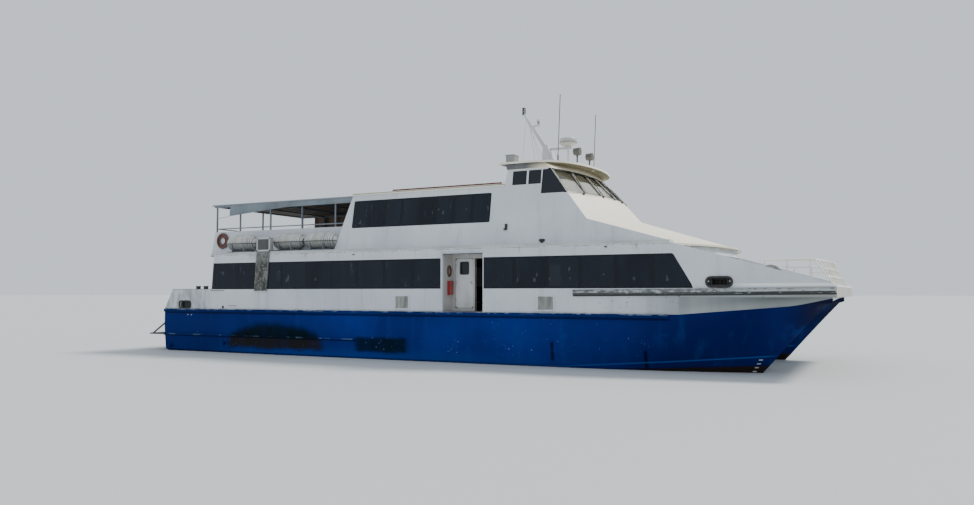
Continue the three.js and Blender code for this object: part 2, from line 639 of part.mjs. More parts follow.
// Wheelhouse roof with its visor, antenna whips and searchlight posts
// Each level: z, x of the aft edge, then x and half-breadth from the side to the centreline
const HEAD_EDGE = [[4000, 3365], [4825, 3365], [4990, 2900], [5255, 1690], [5345, 850], [5370, 0]];
const COVE_EDGE = [[4000, 3330], [4520, 3230], [4700, 2700], [4960, 1900], [5120, 1000], [5180, 0]];
const VISOR_EDGE = [[4000, 3385], [4680, 3150], [5130, 2700], [5450, 1900], [5620, 1000], [5690, 0]];
const CROWN_EDGE = [[3900, 2850], [4400, 2650], [4750, 2250], [5000, 1600], [5140, 800], [5200, 0]];
const ROOF_LEVELS = [
  [WHEELHOUSE_TOP_Z, 2940, HEAD_EDGE],
  [7850, 2860, COVE_EDGE],
  [7865, 2600, VISOR_EDGE],
  [7950, 2600, VISOR_EDGE],
  [WHEELHOUSE_ROOF_TOP_Z, 2850, CROWN_EDGE],
];
// Lofted along z: the rings are given as z, x, y and turned back.
const roofRings = ROOF_LEVELS.map(([z, aft, edge]) => {
  const half = [[aft, edge[0][1]], ...edge];
  const mirrored = half.slice(0, -1).map(([x, y]) => [x, -y]);
  return [...mirrored, ...half.reverse()].map(([x, y]) => [z, x, y]);
});
const SEARCHLIGHT = { x: 4920, y: 750, z: 8420 };
const WHIP = { x: 4620, y: 2140, tip: [4730, 10760] }; // tip in x and z
const roofParts = [remap(loft(roofRings), (z, x, y) => [x, y, z])];
for (const s of [-1, 1]) {
  roofParts.push(
    bar([SEARCHLIGHT.x, s * SEARCHLIGHT.y, 7800], [SEARCHLIGHT.x, s * SEARCHLIGHT.y, SEARCHLIGHT.z], 35, 8),
    bar([WHIP.x, s * WHIP.y, 7800], [WHIP.x, s * WHIP.y, 8300], 35, 8),
    bar([WHIP.x, s * WHIP.y, 8250], [WHIP.tip[0], s * WHIP.y, WHIP.tip[1]], 16, 6),
  );
}
add("wheelhouse_roof", join(...roofParts), "visor");
const lampHead = join(
  bar([0, 0, 0.5], [0, 0, 90], 45, 12),
  bar([-140, 0, 210], [140, 0, 210], 150, 12, 170),
  box(-60, 60, -60, 60, 60, 120),
).translate(SEARCHLIGHT.x, -SEARCHLIGHT.y, SEARCHLIGHT.z);
addPair("searchlight", closed(lampHead), "steel");

// Mast: housing, pole raked aft, lamp brackets and the arm that carries the radar
const ROOF_TOP = WHEELHOUSE_ROOF_TOP_Z;
const mast = join(
  loft([
    [[3110, -300, ROOF_TOP], [3110, 300, ROOF_TOP], [3130, 200, 9140], [3130, -200, 9140]],
    [[3820, -300, ROOF_TOP], [3820, 300, ROOF_TOP], [3330, 200, 9140], [3330, -200, 9140]],
  ]),
  bar([3240, 0, 8960], [2160, 0, 10630], 110, 10, 60),
  bar([3250, 0, 8975], [4370, 0, 8940], 55, 8),
  bar([4230, 0, 8900], [4230, 0, 9040], 120, 10),
  bar([4230, 0, ROOF_TOP], [4230, 0, 8940], 38, 8),
  box(2085, 2215, -60, 60, 10570, 10920),
  box(2500, 2910, -30, 30, 10030, 10090),
  box(2795, 2905, -55, 55, 10070, 10330),
);
add("mast", mast, "white");
const RADOME = [[0, 0], [210, 0], [300, 55], [365, 95], [378, 140], [370, 280], [330, 325], [0, 340]];
const radome = new THREE.LatheGeometry(RADOME.map(([r, z]) => new THREE.Vector2(r, z)), 16)
  .rotateX(Math.PI / 2)
  .translate(4230, 0, 9040.3);
add("radar", closed(radome), "white");

// Aft open deck: bulwark on three sides, posts with rails, canopy and side curtains
const BULWARK_TOP_Z = 5700;
const bulwarkIn = BULWARK_Y - 60;
const BULWARK_FRONT_X = UPPER_AFT_X - SEAT_GAP;
const bulwarkEnd = [-12950, BULWARK_TOP_Z]; // its aft end leans forward
const bulwarkSide = [
  [AFT_DECK_X, UPPER_DECK_Z], [BULWARK_FRONT_X, UPPER_DECK_Z], [BULWARK_FRONT_X, BULWARK_TOP_Z], bulwarkEnd,
];
const bulwarkAft = [
  [AFT_DECK_X, UPPER_DECK_Z], [-13140, UPPER_DECK_Z], [-12890, BULWARK_TOP_Z], bulwarkEnd,
];
add(
  "aft_bulwark",
  join(
    plateY(bulwarkSide, -BULWARK_Y, -bulwarkIn),
    plateY(bulwarkSide, bulwarkIn, BULWARK_Y),
    plateY(bulwarkAft, -BULWARK_Y + 10, BULWARK_Y - 10),
  ),
  "white",
);
const CANOPY_Z = 6970;
const CANOPY_END_X = -4520 - SEAT_GAP;
const POST_X = [-12860, -11360, -9470, -7590, -5690];
const POST_Y = BULWARK_Y - 30;
const RAIL_Z = 5850;
const frame = [];
const beamZ = CANOPY_Z - 40;
for (const s of [-1, 1]) {
  for (const x of POST_X)
    frame.push(box(x - 30, x + 30, s * POST_Y - 30, s * POST_Y + 30, BULWARK_TOP_Z, beamZ));
  frame.push(box(-12875, -4600, s * POST_Y - 22, s * POST_Y + 22, RAIL_Z - 25, RAIL_Z + 25));
  frame.push(box(-13000, -4540, s * POST_Y - 40, s * POST_Y + 40, beamZ - 40, CANOPY_Z));
}
frame.push(box(-12890, -12830, -30, 30, BULWARK_TOP_Z, beamZ));
frame.push(box(-12880, -12840, -POST_Y, POST_Y, RAIL_Z - 20, RAIL_Z + 20));
for (const x of POST_X) frame.push(box(x - 25, x + 25, -POST_Y, POST_Y, beamZ - 30, CANOPY_Z - 5));
add("canopy_frame", join(...frame), "steel");
const canopy = box(-13150, CANOPY_END_X, -BULWARK_Y - 30, BULWARK_Y + 30, CANOPY_Z, CANOPY_Z + 60);
add("canopy_roof", canopy, "canopy");
const CURTAIN_Y = BULWARK_Y + 12;
// The starboard curtain is rolled up, less tightly at its aft end; the port one is let down.
const ROLLED = [[-12050, 6440], [-8540, 6720], [-4600, 6735], [-4600, CANOPY_Z], [-11900, CANOPY_Z]];
add("curtain_starboard", plateY(ROLLED, -CURTAIN_Y - 60, -CURTAIN_Y), "canvas");
add("curtain_port", box(-12100, -4600, CURTAIN_Y, CURTAIN_Y + 40, 5900, CANOPY_Z), "canvas");

// Life rafts in their cradles on the side ledge
const RAFT = { x: [-10500, -7700, -5930], y: -3860, z: 5060, r: 380, half: 660, dome: 180 };
const raftProfile = [
  [0, -RAFT.half - RAFT.dome], [260, -RAFT.half - 70], [RAFT.r, -RAFT.half + 60],
  [RAFT.r, RAFT.half - 60], [260, RAFT.half + 70], [0, RAFT.half + RAFT.dome],
].map(([r, s]) => new THREE.Vector2(r, s));
const rafts = RAFT.x.map((x) =>
  closed(new THREE.LatheGeometry(raftProfile, 12).rotateZ(-Math.PI / 2).translate(x, RAFT.y, RAFT.z)));
const cradles = RAFT.x.flatMap((x) =>
  [-350, 350].map((dx) =>
    box(x + dx - 30, x + dx + 30, RAFT.y - 330, RAFT.y + 330, UPPER_DECK_Z, RAFT.z - 200)));
const raftRails = [RAFT.y - 280, RAFT.y + 280].map((y) =>
  box(RAFT.x[0] - 600, RAFT.x[2] + 550, y - 30, y + 30, UPPER_DECK_Z, UPPER_DECK_Z + 40));
addPair("life_rafts", join(...rafts, ...cradles, ...raftRails), "raft");

// Engine room ventilation trunk up the side, with its louvre box on the ledge
const trunkSide = [[-9150, 2810], [-8440, 2810], [-8290, UPPER_DECK_Z + 10], [-9030, UPPER_DECK_Z + 10]];
addPair(
  "vent_trunk",
  join(
    plateY(trunkSide, -HALF_BEAM - 60, -HALF_BEAM),
    box(-9010, -8250, -HALF_BEAM - 60, -HALF_BEAM + 160, UPPER_DECK_Z, 5220),
  ),
  "louvre",
);

// Bow rails, raised on the foredeck edges and leaning aft from the fascia
const POST_R = 24;
const RAIL_R = 31; // wide enough to swallow the ends of the posts
const RAIL_SIDES = 6;
const RAIL_TOP = [14300, 3830];
const RAIL_BOW = 330; // the top rail is bowed forward by this on the centreline // x and z of the top rail across the bow
const RAIL_FOOT = [BOW_X - 60, FASCIA_TOP_Z - 30];
const RAIL_HALF = 4300;
const POST_FOOT_Z = FOREDECK_Z - 40;
const NARROWING = 0.05; // the top rail is this much shorter than the line of the feet
const upright = (y, t) => [
  RAIL_FOOT[0] + (RAIL_TOP[0] - RAIL_FOOT[0]) * t + RAIL_BOW * t * (1 - (y / RAIL_HALF) ** 2),
  y * (1 - NARROWING * t),
  RAIL_FOOT[1] + (RAIL_TOP[1] - RAIL_FOOT[1]) * t,
];
const pulpit = [];
const POSTS = 14; // spaces between the posts across the bow
const across = Array.from({ length: POSTS + 1 }, (_, i) => RAIL_HALF * ((2 * i) / POSTS - 1));
for (const y of across) pulpit.push(bar(upright(y, 0), upright(y, 1), POST_R, RAIL_SIDES));
for (const t of [0.36, 0.68, 1])
  across.slice(1).forEach((y, i) =>
    pulpit.push(bar(upright(across[i] - 12, t), upright(y + 12, t), RAIL_R, RAIL_SIDES)));
for (const s of [-1, 1]) {
  const [x, y, z] = upright(s * RAIL_HALF, 1);
  const inner = s * (RAIL_HALF - 210);
  pulpit.push(
    bar([x + 60, y, z], [12800, s * 4250, RAIL_TOP[1]], RAIL_R, RAIL_SIDES),
    bar([x + 330, y, 3570], [13350, s * 4230, 3600], POST_R, RAIL_SIDES),
    bar([12820, s * 4250, 3840], [12550, s * 4250, POST_FOOT_Z], POST_R, RAIL_SIDES),
    bar([13500, s * 4200, 3840], [13500, s * 4200, POST_FOOT_Z], POST_R, RAIL_SIDES),
    bar([x - 100, inner, z], [x - 100, inner, POST_FOOT_Z], POST_R, RAIL_SIDES),
  );
}
add(
  "bow_rail",
  cut(
    join(...pulpit),
    box(BOW_X - 200, BOW_X + 100, -HALF_BEAM, HALF_BEAM, FOREDECK_Z - 100, FASCIA_TOP_Z),
    box(BREAK_X, BOW_X, -HALF_BEAM, HALF_BEAM, FOREDECK_Z - 100, FOREDECK_Z),
  ),
  "white",
);

// Deck machinery and mooring gear
add(
  "windlass",
  join(
    box(11950, 13000, -750, 750, FOREDECK_Z, FOREDECK_Z + 250),
    box(12150, 12750, -450, -250, FOREDECK_Z + 200, 3650),
    box(12150, 12750, 250, 450, FOREDECK_Z + 200, 3650),
    bar([12450, -850, 3500], [12450, 850, 3500], 180, 12),
    bar([12450, -300, 3500], [12450, 300, 3500], 300, 14),
  ),
  "steel",
);
const bitts = join(
  box(-13900, -12900, -3750, -3350, MAIN_DECK_Z, MAIN_DECK_Z + 60),
  ...[-13650, -13150].map((x) => bar([x, -3550, MAIN_DECK_Z + 40], [x, -3550, 3080], 110, 12)),
  bar([-13800, -3550, 2700], [-13000, -3550, 2700], 45, 8),
);
addPair("mooring_bitts", bitts, "steel");
add(
  "stern_bulwark",
  cut(
    plateY(
      [[-14800, MAIN_DECK_Z], [-14720, MAIN_DECK_Z], [-14230, 2900], [-14310, 2900]],
      SIDE_IN + SEAT_GAP,
      -SIDE_IN - SEAT_GAP,
    ),
    box(-15000, -14000, -500, 500, 2150, 3000),
  ),
  "white",
);
const PLATFORM_Y = [-4300, -1900];
addPair(
  "stern_platform",
  join(
    box(-16080, TRANSOM_X, ...PLATFORM_Y, 740, 800),
    ...[PLATFORM_Y[0] + 60, PLATFORM_Y[1] - 60].flatMap((y) => [
      plateY([[-15950, 790], [-15850, 790], [TRANSOM_X, 1420], [TRANSOM_X, 1500]], y - 30, y + 30),
      plateY([[TRANSOM_X, 560], [TRANSOM_X, 760], [-15200, 760]], y - 30, y + 30),
    ]),
  ),
  "steel",
);

// Seats in rows on a floor covering: one comb outline for a run of rows, thick across the ship
const SEAT = { height: 420, depth: 480, back: 1050, backThick: 90, floor: 25, pitch: 880 };
function seatRows(from, to, floor) {
  const outline = [];
  for (let x = to - SEAT.depth; x > from + SEAT.backThick; x -= SEAT.pitch)
    outline.push(
      [x + SEAT.depth, floor + SEAT.floor],
      [x + SEAT.depth, floor + SEAT.height],
      [x + 130, floor + SEAT.height],
      [x, floor + SEAT.back],
      [x - SEAT.backThick, floor + SEAT.back],
      [x + 40, floor + SEAT.floor],
    );
  return outline;
}
// Row runs on a deck, with a centre aisle; the covering ties them together.
function seating(runs, floor, halfWidth, aisle) {
  const from = runs[0][0];
  const to = runs[runs.length - 1][1];
  const blocks = runs.flatMap(([a, b]) => {
    const outline = [[a, floor], [b, floor], ...seatRows(a, b, floor), [a, floor + SEAT.floor]];
    return [plateY(outline, -halfWidth, -aisle), plateY(outline, aisle, halfWidth)];
  });
  return join(box(from, to, -aisle - 100, aisle + 100, floor, floor + SEAT.floor), ...blocks);
}
add("seats_main", seating([[-11200, 300], [2900, 9700]], MAIN_DECK_Z, 4250, 500), "seat");
add("seats_upper", seating([[-3900, 2600]], UPPER_DECK_Z, 3400, 450), "seat");

// Wheelhouse floor with its steering console and two chairs
const HELM_FLOOR_Z = 5500;
const HELM_HALF = 3550;
const CONSOLE_FOOT_Z = HELM_FLOOR_Z + 50;
const consoleOutline = [
  [5350, CONSOLE_FOOT_Z], [5900, CONSOLE_FOOT_Z], [5900, 6400], [5600, 6460], [5250, 6250], [5350, 6100],
];
const chairOutline = [[4250, 5930], [4780, 5930], [4780, 6060], [4380, 6060], [4300, 6700], [4200, 6700]];
add(
  "helm",
  join(
    box(3000, 6080, -HELM_HALF, HELM_HALF, HELM_FLOOR_Z, HELM_FLOOR_Z + 60),
    box(3000, 3060, -HELM_HALF, HELM_HALF, UPPER_DECK_Z, HELM_FLOOR_Z + 10),
    plateY(consoleOutline, -1700, 1700),
    ...[-800, 800].flatMap((y) => [
      bar([4500, y, HELM_FLOOR_Z + 50], [4500, y, 5950], 60, 8),
      plateY(chairOutline, y - 260, y + 260),
    ]),
  ),
  "console",
);

// Propellers on their shafts, shaft brackets and rudders
const PROP_R = 410;
function propeller() {
  const hub = bar([-160, 0, 0], [150, 0, 0], 95, 12, 75);
  const shaft = bar([0, 0, 0], [SHAFT_END, 0, 0], SHAFT_R, ROUND);
  const blades = Array.from({ length: 4 }, (_, i) => {
    const turn = (i * Math.PI) / 2;
    const outline = [[-55, 60], [55, 60], [150, 230], [110, 370], [0, PROP_R], [-110, 370], [-150, 230]];
    const blade = extruded(outline, -14, 14, (a, b, c) => [c, a, b]);
    const pitch = new THREE.Matrix4().makeRotationZ(THREE.MathUtils.degToRad(-58));
    return closed(blade.applyMatrix4(pitch).applyMatrix4(new THREE.Matrix4().makeRotationX(turn)));
  });
  return join(hub, shaft, ...blades);
}
const onLine = (geometry, [x, y, z]) =>
  closed(geometry.rotateY(-THREE.MathUtils.degToRad(SHAFT_DEG)).translate(x, y, z));
addPair("propeller", onLine(propeller(), PROP_AT), "bronze");
const [strutAft, , strutAftZ] = onShaft(370);
const [strutFore, , strutForeZ] = onShaft(590);
const strut = [
  [strutAft, strutAftZ], [strutFore, strutForeZ], [strutFore + 60, -700], [strutAft + 60, -700],
];
const bracket = cut(
  join(bar(onShaft(330), onShaft(630), 85, 12), plateY(strut, -HULL_Y - 22, -HULL_Y + 22)),
  bar(onShaft(300), onShaft(660), BORE_R, ROUND),
  hullCutter,
);
addPair("shaft_bracket", bracket, "steel");
// Blade sections from its leading edge: x from the stock, half thickness, z of the foot and of the top
const RUDDER_BLADE = [[190, 4, -1700, -960], [0, 55, -1780, -950], [-460, 8, -1760, -930]];
const rudder = join(
  loft(RUDDER_BLADE.map(([x, half, z0, z1]) =>
    [[-half, z0], [half, z0], [half, z1], [-half, z1]].map(([y, z]) => [RUDDER_X + x, y - HULL_Y, z]))),
  bar([RUDDER_X, -HULL_Y, -1000], [RUDDER_X, -HULL_Y, STOCK_TOP_Z], STOCK_R, ROUND),
);
addPair("rudder", rudder, "steel");

export default ferry;
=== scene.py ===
"""A twin-hulled fast passenger ferry afloat, dressed on its fixed frame.

Metres, X forward, Y to port, Z up from the water. The file follows the ship as she was built: hulls, side walls and
glass, entrances, upper cabin, wheelhouse, mast, decks and their gear, then the seats inside and what is under water.
"""

import json
import math

import bmesh
import bpy
import numpy as np
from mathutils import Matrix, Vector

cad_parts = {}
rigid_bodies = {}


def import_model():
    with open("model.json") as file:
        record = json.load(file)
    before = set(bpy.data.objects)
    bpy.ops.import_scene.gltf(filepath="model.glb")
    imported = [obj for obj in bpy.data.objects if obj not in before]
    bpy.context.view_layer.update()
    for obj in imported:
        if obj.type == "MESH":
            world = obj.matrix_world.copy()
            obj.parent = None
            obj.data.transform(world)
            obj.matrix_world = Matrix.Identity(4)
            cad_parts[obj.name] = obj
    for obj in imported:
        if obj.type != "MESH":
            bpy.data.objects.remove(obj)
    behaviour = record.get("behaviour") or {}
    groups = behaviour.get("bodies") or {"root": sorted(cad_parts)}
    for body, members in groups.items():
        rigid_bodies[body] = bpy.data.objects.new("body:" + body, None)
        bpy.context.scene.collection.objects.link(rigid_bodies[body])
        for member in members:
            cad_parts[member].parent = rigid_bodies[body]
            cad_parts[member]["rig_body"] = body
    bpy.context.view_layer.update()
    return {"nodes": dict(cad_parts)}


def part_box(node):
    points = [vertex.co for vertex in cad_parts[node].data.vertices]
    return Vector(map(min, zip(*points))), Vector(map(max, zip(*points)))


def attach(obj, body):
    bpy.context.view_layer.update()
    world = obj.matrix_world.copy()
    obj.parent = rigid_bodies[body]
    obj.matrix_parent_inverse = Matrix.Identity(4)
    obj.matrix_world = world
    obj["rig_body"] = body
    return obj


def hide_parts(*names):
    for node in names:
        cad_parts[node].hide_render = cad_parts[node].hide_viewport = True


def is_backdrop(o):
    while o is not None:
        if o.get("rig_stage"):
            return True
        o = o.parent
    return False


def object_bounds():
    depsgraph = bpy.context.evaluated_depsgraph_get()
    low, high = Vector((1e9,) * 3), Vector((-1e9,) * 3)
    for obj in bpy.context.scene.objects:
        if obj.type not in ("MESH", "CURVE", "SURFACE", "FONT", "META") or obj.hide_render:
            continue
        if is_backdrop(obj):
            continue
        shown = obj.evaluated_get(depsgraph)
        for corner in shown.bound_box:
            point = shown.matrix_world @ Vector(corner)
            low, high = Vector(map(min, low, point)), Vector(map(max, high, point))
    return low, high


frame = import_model()

# QUAY, WATER LEVEL AND LIGHT
# She is seen from a quay off the starboard bow, the eye 2.7 m above the water, with a plain pale floor
# for the water's surface. Light is an even sky and a broad sun from ahead on the port side.
eye = bpy.data.cameras.new("eye")
eye.lens, eye.sensor_width, eye.clip_end = 29.86, 36, 3000
camera = bpy.data.objects.new("camera", eye)
camera.location = (16.77, -32.24, 2.74)
camera.rotation_euler = (math.radians(92.87), 0, math.radians(27.04))
sun = bpy.data.lights.new("sun", "SUN")
sun.energy, sun.angle, sun.color = 3.7, math.radians(12), (1.0, .95, .86)
sunlight = bpy.data.objects.new("sunlight", sun)
sunlight.rotation_euler = (math.radians(40), 0, math.radians(140))
for thing in (camera, sunlight):
    bpy.context.scene.collection.objects.link(thing)
bpy.context.scene.camera = camera
sky = bpy.data.worlds.new("sky")
sky.use_nodes = True
sky.node_tree.nodes["Background"].inputs["Color"].default_value = (.8, .86, .93, 1)
sky.node_tree.nodes["Background"].inputs["Strength"].default_value = .98
bpy.context.scene.world = sky
water = bpy.data.meshes.new("floor")
water.from_pydata([(-900, -900, 0), (900, -900, 0), (900, 900, 0), (-900, 900, 0)], [], [(0, 1, 2, 3)])
floor_paint = bpy.data.materials.new("floor_paint")
floor_paint.use_nodes = True
floor_paint.node_tree.nodes["Principled BSDF"].inputs["Base Color"].default_value = (.52, .55, .57, 1)
floor_paint.node_tree.nodes["Principled BSDF"].inputs["Roughness"].default_value = .9
water.materials.append(floor_paint)
floor = bpy.data.objects.new("floor", water)
bpy.context.scene.collection.objects.link(floor)
floor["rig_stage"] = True

# HULLS
# Two slim welded aluminium hulls with a hard chine, a spray rail and a heavy rubbing strake along the deck edge.
# Deep blue topsides over dark red antifouling, white above the knuckle forward, stained by the exhausts.


class Wire:
    """A node socket worked with like a number: every operator adds its Math node beside it."""

    def __init__(self, tree, socket):
        self.tree, self.socket = tree, socket

    def maths(self, operation, *values):
        node = self.tree.nodes.new("ShaderNodeMath")
        node.operation = operation
        for socket, value in zip(node.inputs, values):
            if isinstance(value, Wire):
                self.tree.links.new(value.socket, socket)
            else:
                socket.default_value = value
        return Wire(self.tree, node.outputs[0])

    def __add__(self, other): return self.maths("ADD", self, other)
    def __sub__(self, other): return self.maths("SUBTRACT", self, other)
    def __rsub__(self, other): return self.maths("SUBTRACT", other, self)
    def __mul__(self, other): return self.maths("MULTIPLY", self, other)
    def __truediv__(self, other): return self.maths("DIVIDE", self, other)
    def __pow__(self, other): return self.maths("POWER", self, other)
    def __abs__(self): return self.maths("ABSOLUTE", self)
    __radd__, __rmul__ = __add__, __mul__

    def floor(self): return self.maths("FLOOR", self)
    def fract(self): return self.maths("FRACT", self)
    def wave(self): return self.maths("SINE", self)
    def most(self, other): return self.maths("MAXIMUM", self, other)


class Finish:
    """A procedural material: its shader's constants are set first, then wires for what changes over the surface."""

    def __init__(self, name, **constants):
        self.material = bpy.data.materials.new(name)
        self.material.use_nodes = True
        self.tree = self.material.node_tree
        self.shader = self.tree.nodes["Principled BSDF"]
        for key, value in constants.items():
            self.shader.inputs[key.replace("_", " ")].default_value = value
        place = self.node("ShaderNodeTexCoord", output=3)
        self.place = place
        self.x, self.y, self.z = (self.node("ShaderNodeSeparateXYZ", {}, {0: place}, i) for i in range(3))

    def node(self, kind, settings=None, sockets=None, output=0):
        """One node of a kind, with its settings made before its sockets are given values or links."""
        made = self.tree.nodes.new(kind)
        for key, value in (settings or {}).items():
            setattr(made, key, value)
        for key, value in (sockets or {}).items():
            if isinstance(value, Wire):
                self.tree.links.new(value.socket, made.inputs[key])
            else:
                made.inputs[key].default_value = value
        return Wire(self.tree, made.outputs[output])

    def noise(self, scale, detail=3.0, stretch=(1, 1, 1), start=(0, 0, 0)):
        """Cloudy noise about 0.5, with stretch as waves per metre on each axis for each unit of scale."""
        moved = self.node("ShaderNodeMapping", {}, {0: self.place, 1: start, 3: stretch})
        return self.node("ShaderNodeTexNoise", {}, {"Vector": moved, "Scale": scale, "Detail": detail})

    def step(self, value, low, high):
        """0 below low and 1 above high, easing between them; low above high turns it round."""
        return self.node("ShaderNodeMapRange", {"interpolation_type": "SMOOTHSTEP"},
                         {0: value, 1: low, 2: high, 3: 0.0, 4: 1.0})

    def within(self, value, low, high, soft=.01):
        """1 between low and high, with soft edges outside them."""
        return self.step(value, low - soft, low) * self.step(value, high + soft, high)

    def mix(self, factor, first, second):
        """The first colour where factor is 0 and the second where it is 1."""
        def four(c):
            return c if isinstance(c, Wire) else (*c, 1)
        return self.node("ShaderNodeMix", {"data_type": "RGBA"}, {0: factor, 6: four(first), 7: four(second)}, 2)

    def over(self, factor, coat):
        """Lays a coat over the colour so far, where factor is 1."""
        self.colour = self.mix(factor, self.colour, coat)

    def done(self, colour, roughness=None, height=None, depth=1.0, alpha=None):
        """Wires what changes over the surface to the shader; height is in metres when depth is 1."""
        links = {"Base Color": colour, "Roughness": roughness, "Alpha": alpha}
        if height is not None:
            links["Normal"] = self.node("ShaderNodeBump", {}, {"Strength": 1.0, "Distance": depth, "Height": height})
        for key, wire in links.items():
            if isinstance(wire, Wire):
                self.tree.links.new(wire.socket, self.shader.inputs[key])
            elif wire is not None:
                self.shader.inputs[key].default_value = wire
        return self


def mottled(name, first, second, cloud, ease=None, rough=None, relief=(30, 3), depth=.001, alpha=None, **constants):
    """Two tones mixed by noise, eased between two levels where asked, over a fine relief. cloud and relief are what
    noise takes, and rough is a number or a base, a share and what noise takes."""
    f = Finish(name, **constants)
    mask = f.step(f.noise(*cloud), *ease) if ease else f.noise(*cloud)
    if isinstance(rough, tuple):
        rough = rough[0] + rough[1] * f.noise(*rough[2:])
    return f.done(f.mix(mask, first, second), rough, f.noise(*relief), depth, alpha)


def merged(node):
    """A node's triangles as (points, faces), with points that round to the same tenth of a millimetre made one."""
    mesh = frame["nodes"][node].data
    points = np.empty(len(mesh.vertices) * 3, np.float32)
    mesh.vertices.foreach_get("co", points)
    corners = np.empty(len(mesh.loops), np.int32)
    mesh.loops.foreach_get("vertex_index", corners)
    points = points.reshape(-1, 3).astype(float)
    _, first, back = np.unique(np.round(points, 4), axis=0, return_index=True, return_inverse=True)
    faces = back.reshape(-1)[corners].reshape(-1, 3)
    whole = (faces[:, 0] != faces[:, 1]) & (faces[:, 1] != faces[:, 2]) & (faces[:, 2] != faces[:, 0])
    return points[first], faces[whole]


def piece(name, chunks, finish, body="ferry", stands_for=(), smooth=35, bevel=0.0, turn=True):
    """One object from the (points, faces) of its chunks: doubles merged, faces turned out, smooth under an angle."""
    points, faces, first = [], [], 0
    for p, f in chunks:
        p = np.asarray(p, float).reshape(-1, 3)
        points.append(p)
        faces += (f + first).tolist() if isinstance(f, np.ndarray) else [[i + first for i in face] for face in f]
        first += len(p)
    mesh = bpy.data.meshes.new(name)
    mesh.from_pydata(np.concatenate(points).tolist(), [], faces)
    work = bmesh.new()
    work.from_mesh(mesh)
    bmesh.ops.remove_doubles(work, verts=work.verts, dist=1e-5)
    if bevel:
        bmesh.ops.dissolve_limit(work, angle_limit=math.radians(.6), verts=work.verts, edges=work.edges)
    if turn:
        bmesh.ops.recalc_face_normals(work, faces=work.faces)
    work.to_mesh(mesh)
    work.free()
    mesh.shade_smooth()
    mesh.set_sharp_from_angle(angle=math.radians(smooth))
    mesh.materials.append(finish.material)
    made = bpy.data.objects.new(name, mesh)
    bpy.context.scene.collection.objects.link(made)
    if bevel:
        edge = made.modifiers.new("worn edge", "BEVEL")
        edge.width, edge.segments, edge.limit_method, edge.angle_limit = bevel, 2, "ANGLE", math.radians(40)
        edge.harden_normals = True
    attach(made, body)
    if stands_for:
        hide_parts(*stands_for)
    return made


def dress(node, finish, slot, smooth=35, bevel=0.0):
    """A node's own form with soft shading and worn edges in its place."""
    return piece(node + "_form", [merged(node)], finish, frame["nodes"][node]["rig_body"], [node],
                 smooth, bevel, turn=False)


def dress_pair(stem, *how, **more):
    """The starboard and port nodes of one stem, dressed alike."""
    for side_name in ("starboard", "port"):
        dress(stem + side_name, *how, **more)


